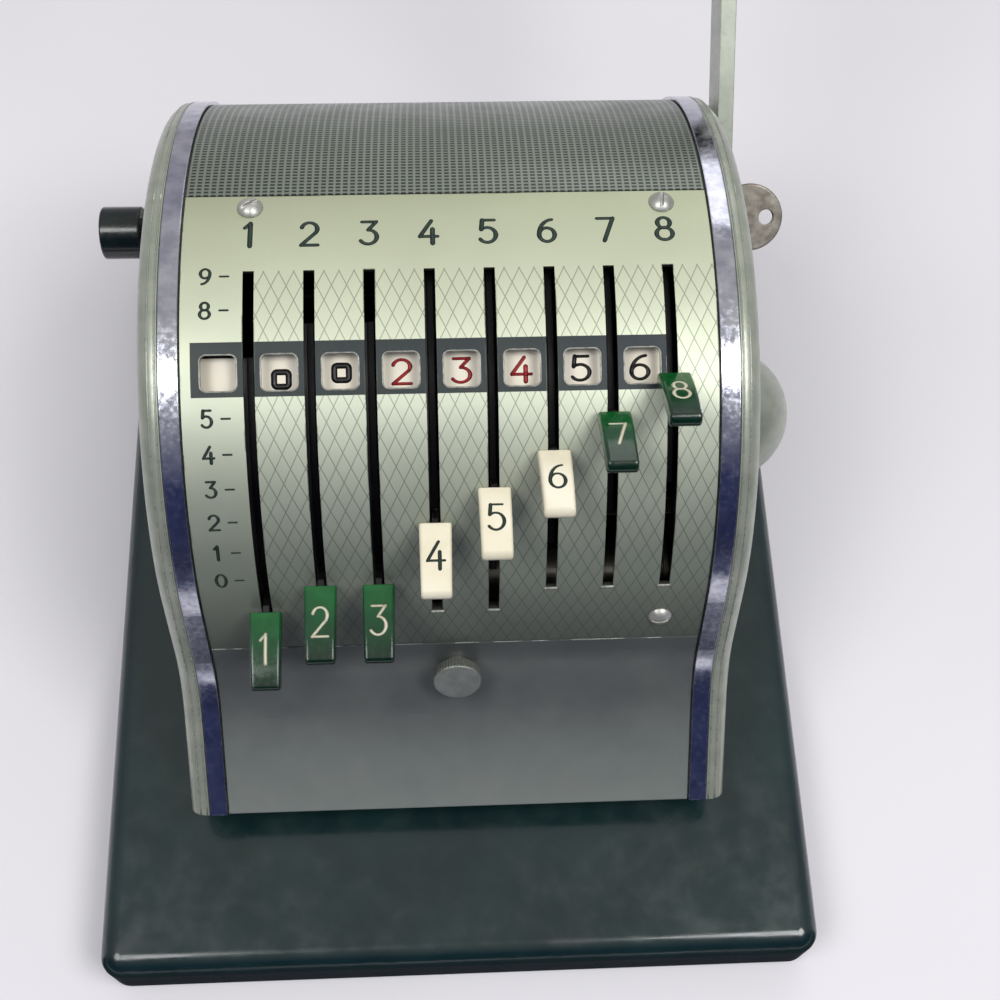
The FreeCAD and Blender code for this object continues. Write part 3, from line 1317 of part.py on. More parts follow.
def make_thumb_screw():
    """Knurled screw that holds the apron to the lower rail."""
    station = (SWEEP, size("thumb_sweep"))
    seat = outline_point(station, size("skin_rise"))
    body = new_body("thumb_screw", 90 - outline_facing(station), (f"{seat.y}", f"{seat.z}"))
    head, collar, shank = size("thumb_radius"), size("thumb_collar"), size("thumb_shank")
    low, top = -size("skin + rail_thick + 1.5"), size("thumb_collar + thumb_head")
    edge, foot, dish = 0.4, head * 0.5, size("sweep_radius - skin_rise")
    clear = size("seat_gap") + dish - math.sqrt(dish * dish - foot * foot)
    profile = [(0, low), (shank, low), (shank, clear), (foot, clear), (foot, collar),
               (head - edge, collar), (head, collar + edge), (head, top - edge),
               (head - edge, top), (0, top)]
    spin(body, chain(profile), "XZ_Plane", "V_Axis")
    flute = plan_cut(body, [plan_circle(head, 0, "thumb_flute")], "thumb_collar - 1",
                     "thumb_head + 2")
    ring_of(body, flute, "Z_Axis", 7.5, 48)


make_lock_body()
make_lock_plug()
make_key()
make_thumb_screw()


# ---------------------------------------------------------------- check and write
doc.recompute()
faults = [f"{item.Label} {item.State}" for item in doc.Objects if {"Invalid", "Error"} & set(item.State)]
faults += [f"{label} shape" for label, piece in nodes.items()
           if piece.Shape.isNull() or not piece.Shape.isValid() or not piece.Shape.Solids]
if faults:
    raise RuntimeError("; ".join(faults))
os.makedirs("parts", exist_ok=True)
for label, piece in nodes.items():
    piece.Shape.exportStep(f"parts/{label}.step")
print(f"{len(nodes)} nodes written")
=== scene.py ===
"""Desk check writer: the finish of its castings, covers, levers, keys and printed figures."""
import math

import bmesh
import bpy
from mathutils import Matrix, Vector


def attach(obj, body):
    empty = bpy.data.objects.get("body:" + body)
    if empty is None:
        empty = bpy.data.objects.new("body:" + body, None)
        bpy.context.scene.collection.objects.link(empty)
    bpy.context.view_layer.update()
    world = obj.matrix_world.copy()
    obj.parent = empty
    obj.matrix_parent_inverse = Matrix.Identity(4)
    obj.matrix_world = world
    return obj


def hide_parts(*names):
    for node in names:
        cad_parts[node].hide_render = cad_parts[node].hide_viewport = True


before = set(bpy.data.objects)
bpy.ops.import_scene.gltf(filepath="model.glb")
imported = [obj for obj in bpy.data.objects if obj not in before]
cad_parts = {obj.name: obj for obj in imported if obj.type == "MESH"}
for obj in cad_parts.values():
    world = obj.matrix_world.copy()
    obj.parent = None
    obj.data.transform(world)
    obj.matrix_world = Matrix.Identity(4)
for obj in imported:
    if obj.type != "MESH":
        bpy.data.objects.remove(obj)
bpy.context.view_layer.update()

MM = 0.001


# ---------------------------------------------------------------- camera
# Looks down on the front of the machine, a little from the right and slightly rolled,
# from about half a metre.
pitch, yaw, roll = math.radians(66.809), math.radians(-6.138), math.radians(4.305)
level = Matrix(((1, 0, 0), (0, -math.sin(pitch), -math.cos(pitch)), (0, math.cos(pitch), -math.sin(pitch))))
turned = Matrix.Rotation(roll, 3, "Z") @ level @ Matrix.Rotation(yaw, 3, "Z").transposed()
right, down, forward = turned
camera = bpy.data.objects.new("camera", bpy.data.cameras.new("camera"))
camera.data.sensor_width = 36
camera.data.lens = 50.70
camera.data.clip_start = 0.01
camera.matrix_world = Matrix.Translation((-0.00334, -0.19168, 0.44195)) @ Matrix(
    (right, -down, -forward)).transposed().to_4x4()
bpy.context.scene.collection.objects.link(camera)
bpy.context.scene.camera = camera
bpy.context.scene.view_settings.view_transform = "Standard"


# ---------------------------------------------------------------- studio
# A pale table top under a pale sky. Where only the trim and the gloss see them, the sky is dark low
# in front, and the table carries painted shadow along the front of the base and painted shade
# further ahead. Soft lamps hang above the front, left and, a little stronger, right, and a weak
# one stands behind.
def ink(red, green, blue):
    """Linear colour of a paint that is named by its screen values, 0 to 255."""
    def straight(value):
        share = value / 255
        return share / 12.92 if share <= 0.04045 else ((share + 0.055) / 1.055) ** 2.4
    return straight(red), straight(green), straight(blue), 1.0


def join(tree, socket, value):
    """Set a socket, or link it where the value is another node's output."""
    if isinstance(value, bpy.types.NodeSocket):
        tree.links.new(value, socket)
    else:
        socket.default_value = value


def add(tree, kind, sockets=None, **settings):
    """New shader node with its settings, and its sockets set or linked."""
    made = tree.nodes.new("ShaderNode" + kind)
    for name, value in settings.items():
        setattr(made, name, value)
    for name, value in (sockets or {}).items():
        join(tree, made.inputs[name], value)
    return made


def calc(tree, operation, *values):
    """Output of one Math node."""
    made = add(tree, "Math", operation=operation)
    for socket, value in zip(made.inputs, values):
        join(tree, socket, value)
    return made.outputs[0]


def mixed(tree, share, first, second):
    """Blend of two colours."""
    made = add(tree, "Mix", data_type="RGBA")
    for place, value in ((0, share), (6, first), (7, second)):
        join(tree, made.inputs[place], value)
    return made.outputs[2]


def spread(tree, value, low, high, to_low=0.0, to_high=1.0):
    """Value carried from one range to another, and held at its ends."""
    made = add(tree, "MapRange", {"Value": value, "From Min": low, "From Max": high,
                                  "To Min": to_low, "To Max": to_high})
    return made.outputs[0]


def ramp(tree, value, stops):
    """Colours along a value, as pairs of place and colour."""
    made = add(tree, "ValToRGB", {0: value})
    for number, (place, colour) in enumerate(stops):
        bar = made.color_ramp.elements
        stop = bar[number] if number < 2 else bar.new(place)
        stop.position, stop.color = place, colour
    return made.outputs[0]


def shaped(name, form, smooth=True):
    """Object from a form, with its faces turned outwards."""
    bmesh.ops.recalc_face_normals(form, faces=form.faces)
    mesh = bpy.data.meshes.new(name)
    form.to_mesh(mesh)
    form.free()
    for face in mesh.polygons:
        face.use_smooth = smooth
    piece = bpy.data.objects.new(name, mesh)
    bpy.context.scene.collection.objects.link(piece)
    return piece


TABLE_HALF = 3.0
top = bmesh.new()
top.faces.new([top.verts.new((x * TABLE_HALF, y * TABLE_HALF, 0))
               for x, y in ((-1, -1), (1, -1), (1, 1), (-1, 1))])
table = shaped("table_top", top, smooth=False)
table_paint = bpy.data.materials.new("table_cloth")
table_paint.use_nodes = True
cloth = table_paint.node_tree
cloth_point = add(cloth, "TexCoord").outputs["Object"]
cloth_tone = add(cloth, "TexNoise", {"Vector": cloth_point, "Scale": 2.5, "Detail": 3.0}).outputs[0]
cloth_shade = cloth.nodes["Principled BSDF"]
cloth_colour = mixed(cloth, spread(cloth, cloth_tone, 0.35, 0.65), ink(222, 220, 222), ink(231, 229, 232))
BASE_FRONT, DARK_END = -0.15, -0.5
depth = spread(cloth, add(cloth, "SeparateXYZ", {0: cloth_point}).outputs["Y"], BASE_FRONT, DARK_END)
# Painted shadow on the table, seen only in gloss and bounced light: a dark strip along the front of the
# base and painted shade further ahead.
floor_painted_shadow = ramp(cloth, depth, [(0.0, ink(226, 224, 228)), (0.02, ink(34, 38, 44)), (0.15, ink(62, 66, 76)),
                               (0.28, ink(120, 120, 132)), (0.36, ink(226, 224, 228)),
                               (0.68, ink(226, 224, 228)), (0.88, ink(62, 68, 98))])
join(cloth, cloth_shade.inputs["Base Color"],
     mixed(cloth, add(cloth, "LightPath").outputs["Is Camera Ray"], floor_painted_shadow, cloth_colour))
cloth_shade.inputs["Roughness"].default_value = 0.9
table.data.materials.append(table_paint)

sky = bpy.data.worlds.new("studio")
bpy.context.scene.world = sky
sky.use_nodes = True
air = sky.node_tree
heading = add(air, "SeparateXYZ", {0: add(air, "TexCoord").outputs["Generated"]})
front_tones = ramp(air, heading.outputs["Z"],
                   [(0.0, ink(64, 70, 100)), (0.14, ink(58, 64, 98)), (0.48, ink(66, 74, 112)),
                    (0.68, ink(144, 146, 164)), (1.0, ink(226, 225, 223))])
rear_tones = ramp(air, heading.outputs["Z"],
                  [(0.0, ink(204, 202, 206)), (0.5, ink(186, 184, 194)), (1.0, ink(226, 225, 223))])
ahead = spread(air, heading.outputs["Y"], 0.1, -0.35)
join(air, air.nodes["Background"].inputs["Color"],
     mixed(air, add(air, "LightPath").outputs["Is Camera Ray"],
           mixed(air, ahead, rear_tones, front_tones), ink(236, 235, 238)))
air.nodes["Background"].inputs["Strength"].default_value = 0.8


def soft_lamp(name, place, aim, side, watts):
    """Square soft lamp turned towards a point."""
    lamp = bpy.data.lights.new(name, "AREA")
    lamp.size, lamp.energy = side, watts
    holder = bpy.data.objects.new(name, lamp)
    holder.location = place
    holder.rotation_euler = (Vector(aim) - Vector(place)).to_track_quat("-Z", "Y").to_euler()
    bpy.context.scene.collection.objects.link(holder)


FACE_MIDDLE, BODY_MIDDLE = (0.0, -0.02, 0.08), (0.0, 0.0, 0.08)
soft_lamp("right_lamp", (0.5, -0.36, 1.15), FACE_MIDDLE, side=0.45, watts=7.2)
soft_lamp("left_lamp", (-0.5, -0.36, 1.15), FACE_MIDDLE, side=0.45, watts=5.2)
soft_lamp("back_lamp", (0.35, 1.0, 0.85), BODY_MIDDLE, side=0.7, watts=2.0)


# ---------------------------------------------------------------- base
# Drawn steel pan in thick, glossy, blackish green enamel that is worn along its edges, with a
# steel bottom plate inside the skirt and four moulded rubber feet.
PATCH_LOW, PATCH_HIGH = 0.35, 0.65
SMEAR_SCALE, SMEAR_LOW, SMEAR_HIGH = 3.1, 0.35, 0.7
EDGE_WIDTH, EDGE_FLAT, EDGE_ROUND = 0.5 * MM, 0.995, 0.93
WEAR_START, WEAR_FULL = 0.62, 0.66
WORN_ROUGH, WORN_METALLIC = 0.35, 0.9
COAT_ROUGH = 0.06


def finish(name, tones, rough, metallic=0.0, coat=0.0, patches=45.0, grain=2500.0,
           grain_height=0.01, worn=None, worn_share=0.0):
    """Paint, plating or plastic: two tones in patches, a fine grain, and wear along the edges.

    tones is a pair of colours, or a pattern: a function that gives the pair, and after it
    its height in millimetres, a smooth normal, and where that normal doesn't hold. rough is
    the range of roughness, grain_height is in millimetres, and worn is what shows where the
    edges have lost their finish.
    """
    made = bpy.data.materials.new(name)
    made.use_nodes = True
    tree = made.node_tree
    shader = tree.nodes["Principled BSDF"]
    point = add(tree, "TexCoord").outputs["Object"]
    pattern = tones(tree, point) if callable(tones) else tones
    tone, patch_tone, lift, smooth, cut = (*pattern, None, None, None)[:5]
    broad = add(tree, "TexNoise", {"Vector": point, "Scale": patches, "Detail": 6.0}).outputs[0]
    fine = add(tree, "TexNoise", {"Vector": point, "Scale": grain, "Detail": 2.0}).outputs[0]
    smears = add(tree, "TexNoise", {"Vector": point, "Scale": patches * SMEAR_SCALE,
                                    "Detail": 4.0}).outputs[0]
    colour = mixed(tree, spread(tree, broad, PATCH_LOW, PATCH_HIGH), tone, patch_tone)
    dullness = spread(tree, smears, SMEAR_LOW, SMEAR_HIGH, *rough)
    rounded = add(tree, "Bevel", {"Radius": EDGE_WIDTH}, samples=4).outputs[0]
    height = calc(tree, "MULTIPLY", fine, grain_height)
    if lift:
        height = calc(tree, "ADD", height, lift)
    under = mixed(tree, cut, smooth, rounded) if smooth else rounded
    bump = add(tree, "Bump", {"Height": height, "Distance": MM, "Normal": under})
    join(tree, shader.inputs["Normal"], bump.outputs[0])
    if worn:
        flat = add(tree, "NewGeometry").outputs["Normal"]
        match = add(tree, "VectorMath", {0: rounded, 1: flat}, operation="DOT_PRODUCT").outputs["Value"]
        edge = spread(tree, match, EDGE_FLAT, EDGE_ROUND)
        wear = calc(tree, "MULTIPLY", edge, smears)
        bare = spread(tree, wear, WEAR_START - worn_share, WEAR_FULL - worn_share)
        colour = mixed(tree, bare, colour, worn)
        dullness = spread(tree, bare, 0.0, 1.0, dullness, WORN_ROUGH)
        join(tree, shader.inputs["Metallic"], spread(tree, bare, 0.0, 1.0, metallic, WORN_METALLIC))
    else:
        shader.inputs["Metallic"].default_value = metallic
    join(tree, shader.inputs["Base Color"], colour)
    join(tree, shader.inputs["Roughness"], dullness)
    shader.inputs["Coat Weight"].default_value = coat
    shader.inputs["Coat Roughness"].default_value = COAT_ROUGH
    return made


def give(material, *names):
    """Put a finish on CAD nodes."""
    for name in names:
        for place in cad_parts[name].material_slots:
            place.material = material


base_enamel = finish("base_enamel", (ink(12, 33, 34), ink(18, 41, 41)), (0.14, 0.28), coat=0.25,
                     grain_height=0.004, worn=ink(96, 106, 102), worn_share=0.08)
plain_steel = finish("plain_steel", (ink(140, 137, 130), ink(118, 112, 102)), (0.28, 0.5), metallic=0.95,
                     grain_height=0.01, worn=ink(190, 188, 182), worn_share=0.2)
foot_rubber = finish("foot_rubber", (ink(38, 38, 39), ink(52, 51, 50)), (0.65, 0.85), grain_height=0.03)
give(base_enamel, "base_pan")
give(plain_steel, "base_bottom_plate")
give(foot_rubber, "rubber_feet")


# ---------------------------------------------------------------- side panels and trim
# Cast side panels in grey-green hammertone enamel with two fine beads along each rounded rim.
# A chromed strip lies in its seat beside the covers.
SHAFT_HEIGHT = 72.0
# An arc is the Y and Z of its middle from the lever shaft, and its radius, in millimetres.
REAR_ARC = (-2.48, -12.76, 88.0)
CROWN_ARC = (0.0, 0.0, 75.0)
COVER_JOINT, RUN_SLOPE, LIP_SLOPE = 101, 20, 49
RUN_LENGTH, SWEEP_RADIUS, LIP_LENGTH = 20.0, 46.0, 29.0
BACK_FOOT, BACK_STEP, BACK_MARKS = 26.0, 2.6, 12
ARC_STEPS, SWEEP_STEPS, LIP_STEPS = 40, 16, 10


def facing(angle):
    """Y and Z parts of the direction that a face angle names."""
    return Vector((0.0, -math.cos(math.radians(angle)), math.sin(math.radians(angle))))


def body_outline(rise):
    """Points along the body's side, from the foot of the back to the lip, raised by rise."""
    foot = REAR_ARC[0] + REAR_ARC[2] + rise
    path = [Vector((0, foot, BACK_FOOT + BACK_STEP * step)) for step in range(BACK_MARKS)]
    for (y, z, radius), start, end in ((REAR_ARC, 180, COVER_JOINT), (CROWN_ARC, COVER_JOINT, RUN_SLOPE)):
        centre = Vector((0, y, z + SHAFT_HEIGHT))
        path += [centre + facing(start + (end - start) * step / ARC_STEPS) * (radius + rise)
                 for step in range(ARC_STEPS + 1)]
    down = facing(RUN_SLOPE - 90)
    middle = centre + facing(RUN_SLOPE) * (radius + SWEEP_RADIUS) + down * RUN_LENGTH
    turn = (LIP_SLOPE - RUN_SLOPE) / SWEEP_STEPS
    path += [middle - facing(RUN_SLOPE + turn * step) * (SWEEP_RADIUS - rise)
             for step in range(SWEEP_STEPS + 1)]
    step = facing(LIP_SLOPE - 90) * LIP_LENGTH / LIP_STEPS
    return path + [path[-1] + step * number for number in range(1, LIP_STEPS + 1)]


def on_outline(rise):
    """Place a point across, at a step along the outline and above it."""
    low, high = body_outline(rise), body_outline(rise + 1)

    def place(across, step, above):
        whole = min(max(int(step), 0), len(low) - 2)
        share = min(max(step - whole, 0.0), 1.0)
        spot = low[whole].lerp(low[whole + 1], share)
        return Vector((across, 0, 0)) + spot.lerp(high[whole].lerp(high[whole + 1], share), above)
    return place


BRUSH_SIDES = 8
ROUND_END = ((0.0, 1.0), (0.3, 0.8), (0.48, 0.3))


def bridge(form, rings, closed=False):
    """Faces from each ring of corners to the next, and over both ends if it isn't closed."""
    for first, second in zip(rings, rings[1:] + rings[:1] if closed else rings[1:]):
        for corner in range(len(first)):
            after = (corner + 1) % len(first)
            form.faces.new((first[corner], first[after], second[after], second[corner]))
    if not closed:
        form.faces.new(rings[0])
        form.faces.new(rings[-1])


def brush(form, path, wide, tall, place, closed=False, thin=0.0):
    """Raised line of paint or a fine bead along a path, as a closed solid.

    place turns across, along and height above the surface into a point. thin is how much
    narrower the line is where it runs across than where it runs along.
    """
    marks = []
    for number, (u, v) in enumerate(path):
        after = path[(number + 1) % len(path)] if closed else path[min(number + 1, len(path) - 1)]
        before = path[number - 1] if closed else path[max(number - 1, 0)]
        run = Vector((after[0] - before[0], after[1] - before[1])).normalized()
        marks.append((Vector((u, v)), run, wide * (1 - thin * abs(run.x))))
    if not closed:
        (spot, run, full), (tip, turn, end) = marks[0], marks[-1]
        marks[:1] = [(spot - run * full * back, run, full * share) for back, share in reversed(ROUND_END)]
        marks[-1:] = [(tip + turn * end * on, turn, end * share) for on, share in ROUND_END]
    rings = []
    for spot, run, width in marks:
        ring = []
        for corner in range(BRUSH_SIDES):
            turn = math.tau * corner / BRUSH_SIDES
            side = spot + Vector((-run.y, run.x)) * math.cos(turn) * width / 2
            ring.append(form.verts.new(place(side.x, side.y, tall * (0.2 + math.sin(turn) / 2))))
        rings.append(ring)
    bridge(form, rings, closed)


def cast(name, form, material, body):
    """Object from a form in millimetres, which moves with a body of the machine."""
    bmesh.ops.scale(form, vec=(MM, MM, MM), verts=form.verts)
    piece = shaped(name, form)
    piece.data.materials.append(material)
    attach(piece, body)
    return piece


body_enamel = finish("body_enamel", (ink(148, 154, 140), ink(162, 167, 152)), (0.28, 0.42), metallic=0.35,
                     coat=0.2, patches=160.0, grain=900.0, grain_height=0.02,
                     worn=ink(172, 176, 162), worn_share=0.02)
bead_enamel = finish("bead_enamel", (ink(150, 155, 140), ink(164, 168, 154)), (0.24, 0.36), metallic=0.35,
                     coat=0.3, patches=160.0, grain=900.0, grain_height=0.01)
give(body_enamel, "left_side_panel", "right_side_panel")
BEAD_PLACES, BEAD_WIDTH, BEAD_HEIGHT = ((70.1, 5.58), (71.9, 5.2)), 0.45, 0.4
for side, name in ((-1, "left_rim_beads"), (1, "right_rim_beads")):
    beads = bmesh.new()
    for across, rise in BEAD_PLACES:
        steps = range(len(body_outline(rise)))
        brush(beads, [(side * across, step) for step in steps], BEAD_WIDTH, BEAD_HEIGHT, on_outline(rise))
    cast(name, beads, bead_enamel, "machine")
bright_trim = finish("bright_trim", (ink(205, 206, 214), ink(172, 174, 188)), (0.07, 0.26), metallic=1.0,
                     patches=240.0, grain=900.0, grain_height=0.012, worn=ink(150, 150, 152),
                     worn_share=0.05)
give(bright_trim, "left_trim_strip", "right_trim_strip")


# ---------------------------------------------------------------- covers
# Sheet steel covers in satin enamel, bent to the outline of the side panels and screwed between
# them. The top cover is printed with a fine dark mesh, and the apron carries painted shade that darkens it
# towards its seam.
SKIN_RISE = 5.0
DASH_PITCH, ROW_PITCH = 1.8 * MM, 1.2 * MM
APRON_LOW, APRON_SEAM = 44 * MM, 82 * MM


def around(tree, point, arc):
    """Where a point lies on a cover: across, along the curve from the front, and its angle."""
    y, z, radius = arc
    axes = add(tree, "SeparateXYZ", {0: point})
    ahead = calc(tree, "SUBTRACT", y * MM, axes.outputs["Y"])
    above = calc(tree, "SUBTRACT", axes.outputs["Z"], (z + SHAFT_HEIGHT) * MM)
    angle = calc(tree, "ARCTAN2", above, ahead)
    return axes.outputs["X"], calc(tree, "MULTIPLY", angle, (radius + SKIN_RISE) * MM), angle


def stripes(tree, value, pitch, share, soft=0.04):
    """One on stripes that repeat at a pitch and fill a share of it."""
    step = calc(tree, "PINGPONG", calc(tree, "DIVIDE", value, pitch), 0.5)
    return spread(tree, step, share / 2 + soft, share / 2 - soft)


def mesh_print(tree, point):
    """Rows of small dark dashes."""
    across, along, _ = around(tree, point, REAR_ARC)
    dash = calc(tree, "MULTIPLY", stripes(tree, across, DASH_PITCH, 0.66),
                stripes(tree, along, ROW_PITCH, 0.58))
    dark = ink(44, 54, 48)
    return (mixed(tree, dash, ink(120, 126, 114), dark), mixed(tree, dash, ink(130, 136, 124), dark),
            calc(tree, "MULTIPLY", dash, -0.05))


give(finish("mesh_cover", mesh_print, (0.3, 0.42), metallic=0.3, coat=0.15, patches=30.0),
     "top_cover")
cover_enamel = finish("cover_enamel", (ink(134, 140, 126), ink(144, 150, 136)), (0.3, 0.42), metallic=0.3,
                      coat=0.15, worn=ink(190, 192, 184), worn_share=0.12)
give(cover_enamel, "rear_cover")


def apron_painted_shade(tree, point):
    """Grey with painted shade that darkens it towards the seam above."""
    # Painted shade: the grey darkens with height towards the seam.
    height = spread(tree, add(tree, "SeparateXYZ", {0: point}).outputs["Z"], APRON_LOW, APRON_SEAM)
    grey = ramp(tree, height, [(0.0, ink(136, 142, 136)), (0.34, ink(116, 121, 117)),
                               (0.56, ink(94, 98, 96)), (1.0, ink(80, 84, 83))])
    return grey, mixed(tree, 0.15, grey, ink(150, 154, 146))


apron_enamel = finish("apron_enamel", apron_painted_shade, (0.34, 0.46), metallic=0.3, coat=0.1,
                      grain=1600.0, grain_height=0.012, worn=ink(176, 178, 170), worn_share=0.14)
give(apron_enamel, "apron_panel")


# ---------------------------------------------------------------- face plate
# Aluminium plate bent over the levers and screwed on rails, printed in olive green with a
# diamond lattice, and with a blue-black band round the eight figure windows.
LEVERS = 8
SLOT_PITCH = 50.5 / 3.5
SLOT_PLACES = [-48.07 + SLOT_PITCH * number for number in range(LEVERS)]
SLOT_TOP, SLOT_LOW = 85.0, (19.2,) * 5 + (24.8,) * 3
WINDOW_ANGLE, WINDOW_SHIFT, WINDOW_HALF = 67.0, SLOT_PITCH / 2, 4.3
BAND_ANGLE, BAND_REACH, BAND_LEFT = 67.6, 4.7, -61.8
DIAMOND_WIDTH, DIAMOND_HEIGHT, LINE_SHARE, LINE_SOFT = SLOT_PITCH / 4, 7.4, 0.07, 0.02
CROWN_MATCH = 0.9


def face_print(tree, point):
    """Ground with painted shade low down and a painted highlight about the window band, then the lattice,
    window band and the slots' cut edges painted dark as shade.
    """
    across, along, angle = around(tree, point, CROWN_ARC)
    degrees = calc(tree, "MULTIPLY", angle, 180 / math.pi)
    # Painted light on the ground: shade towards the bottom, a highlight about the window band, and a little
    # less towards the top.
    ground_in_painted_light = ramp(tree, spread(tree, degrees, 0.0, 105.0),
                  [(0.1, ink(112, 119, 109)), (0.2, ink(118, 125, 114)), (0.31, ink(143, 150, 136)),
                   (0.46, ink(182, 188, 168)), (0.58, ink(204, 210, 189)), (0.8, ink(202, 208, 180)),
                   (1.0, ink(168, 174, 143))])
    left, right = SLOT_PLACES[0] * MM, SLOT_PLACES[-1] * MM
    first = calc(tree, "DIVIDE", calc(tree, "SUBTRACT", across, left), DIAMOND_WIDTH * MM)
    second = calc(tree, "DIVIDE", along, DIAMOND_HEIGHT * MM)
    rising = stripes(tree, calc(tree, "ADD", first, second), 1.0, LINE_SHARE, LINE_SOFT)
    falling = stripes(tree, calc(tree, "SUBTRACT", first, second), 1.0, LINE_SHARE, LINE_SOFT)
    inside = calc(tree, "MULTIPLY", calc(tree, "GREATER_THAN", across, left),
                  calc(tree, "LESS_THAN", degrees, SLOT_TOP))
    lattice = calc(tree, "MULTIPLY", calc(tree, "MAXIMUM", rising, falling), inside)
    ground_in_painted_light = mixed(tree, calc(tree, "MULTIPLY", lattice, 0.6), ground_in_painted_light, ink(70, 80, 72))
    start = BAND_LEFT * MM
    band = calc(tree, "MULTIPLY", calc(tree, "COMPARE", degrees, BAND_ANGLE, BAND_REACH),
                calc(tree, "COMPARE", across, (right + start) / 2, (right - start) / 2))
    ground_in_painted_light = mixed(tree, band, ground_in_painted_light, ink(32, 41, 46))
    outward = add(tree, "CombineXYZ", {"Y": calc(tree, "MULTIPLY", calc(tree, "COSINE", angle), -1.0),
                                       "Z": calc(tree, "SINE", angle)}).outputs[0]
    crown = add(tree, "VectorTransform", {0: outward}, vector_type="NORMAL", convert_from="OBJECT",
                convert_to="WORLD").outputs[0]
    facet = add(tree, "NewGeometry").outputs["True Normal"]
    match = add(tree, "VectorMath", {0: crown, 1: facet}, operation="DOT_PRODUCT").outputs["Value"]
    cut = calc(tree, "LESS_THAN", match, CROWN_MATCH)
    # Painted shade: the slot walls, where the facet leaves the crown, are coloured dark.
    ground_in_painted_light = mixed(tree, cut, ground_in_painted_light, ink(60, 62, 58))
    return (ground_in_painted_light, mixed(tree, 0.1, ground_in_painted_light, ink(120, 122, 100)), calc(tree, "MULTIPLY", lattice, -0.01),
            crown, cut)


give(finish("face_print", face_print, (0.42, 0.5), metallic=0.45, patches=25.0,
            worn=ink(92, 94, 86), worn_share=0.08), "face_plate")


def on_crown(across, angle, radius=CROWN_ARC[2] + SKIN_RISE):
    """Place a point across, along the crown from a face angle, and above a radius."""
    def place(u, v, above):
        spot = facing(angle + math.degrees(v / radius)) * (radius + above)
        return spot + Vector((across + u, 0, SHAFT_HEIGHT))
    return place


def even(path, step=0.7):
    """Path with marks no further apart than a step."""
    marks = []
    for (u, v), (p, q) in zip(path, path[1:]):
        count = max(1, math.ceil(math.hypot(p - u, q - v) / step))
        marks += [(u + (p - u) * n / count, v + (q - v) * n / count) for n in range(count)]
    return marks + [path[-1]]


def bow(u, v, wide, tall, start, end):
    """Stretch of an ellipse between two angles."""
    count = max(2, round(abs(end - start) / 12))
    turns = [math.radians(start + (end - start) * n / count) for n in range(count + 1)]
    return [(u + wide * math.cos(turn), v + tall * math.sin(turn)) for turn in turns]


def rounded_box(left, right, low, high, corner):
    """Closed path round a box with round corners."""
    path = []
    for u, v, start in ((right - corner, high - corner, 0), (left + corner, high - corner, 90),
                        (left + corner, low + corner, 180), (right - corner, low + corner, 270)):
        path += bow(u, v, corner, corner, start, start + 90)
    return even(path + path[:1])[:-1]


RIM_HALF, RIM_CORNER, RIM_WIDTH, RIM_HEIGHT = WINDOW_HALF + 0.1, 1.6, 0.4, 0.22
SLOT_HALF, SILL_DROP, SILL_WIDTH, SILL_HEIGHT = 1.3, -0.45, 0.9, 0.5
rims = bmesh.new()
for across in SLOT_PLACES:
    window = rounded_box(-RIM_HALF, RIM_HALF, -RIM_HALF, RIM_HALF, RIM_CORNER)
    brush(rims, window, RIM_WIDTH, RIM_HEIGHT, on_crown(across - WINDOW_SHIFT, WINDOW_ANGLE), closed=True)
bare_edge = finish("bare_edge", (ink(196, 196, 186), ink(150, 152, 140)), (0.3, 0.5), metallic=0.6,
                   patches=700.0)
cast("window_rims", rims, bare_edge, "machine")
lips = bmesh.new()
for across, low in zip(SLOT_PLACES, SLOT_LOW):
    edge = even([(-SLOT_HALF, SILL_DROP), (SLOT_HALF, SILL_DROP)])
    brush(lips, edge, SILL_WIDTH, SILL_HEIGHT, on_crown(across, low))
cast("slot_lips", lips, bare_edge, "machine")

INK_HEIGHT = 0.1
# Each figure is drawn in a field one high, with its lines in the order of the brush.
FIGURE_WIDTH = 0.6
FIGURES = (
    [bow(0, 0, 0.29, 0.5, 90, 450)],
    [[(-0.17, 0.3), (0.02, 0.5)], [(0.02, 0.5), (0.02, -0.5)]],
    [bow(0, 0.21, 0.27, 0.29, 165, -38), [(0.21, 0.03), (-0.28, -0.5)], [(-0.28, -0.5), (0.3, -0.5)]],
    [[(-0.25, 0.5), (0.25, 0.5)], [(0.25, 0.5), (-0.03, 0.13)], bow(-0.03, -0.18, 0.3, 0.31, 90, -148)],
    [[(0.1, 0.5), (-0.3, -0.2)], [(-0.3, -0.2), (0.32, -0.2)], [(0.14, 0.12), (0.14, -0.5)]],
    [[(0.24, 0.5), (-0.18, 0.5)], [(-0.18, 0.5), (-0.22, 0.08)], bow(-0.02, -0.17, 0.3, 0.33, 130, -145)],
    [bow(0, -0.2, 0.27, 0.3, 0, 360), bow(0.21, -0.2, 0.48, 0.68, 180, 92)],
    [[(-0.28, 0.5), (0.28, 0.5)], [(0.28, 0.5), (-0.06, -0.5)]],
    [bow(0, 0.26, 0.22, 0.24, 0, 360), bow(0, -0.23, 0.28, 0.27, 0, 360)],
    [bow(0, 0.2, 0.27, 0.3, 0, 360), bow(-0.21, 0.2, 0.48, 0.68, 0, -88)],
)


def draw_figure(form, figure, wide, tall, line, place, height=INK_HEIGHT, thin=0.3):
    """Paint one figure, wide by tall, about the middle of its place."""
    for stroke in FIGURES[figure]:
        path = even([(u * wide / FIGURE_WIDTH, v * tall) for u, v in stroke])
        closed = math.dist(path[0], path[-1]) < 0.01
        brush(form, path[:-1] if closed else path, line, height, place, closed, thin)


dark_print = finish("dark_print", (ink(30, 48, 40), ink(40, 58, 48)), (0.35, 0.5), patches=300.0)
LEVER_ROOT, LEVER_STEP = 28.36, 6.19
HEADER_ANGLE, SCALE_COLUMN, TICK_COLUMN = 92.3, -58.3, -53.8
TICK_HALF, TICK_WIDTH = 1.0, 0.5
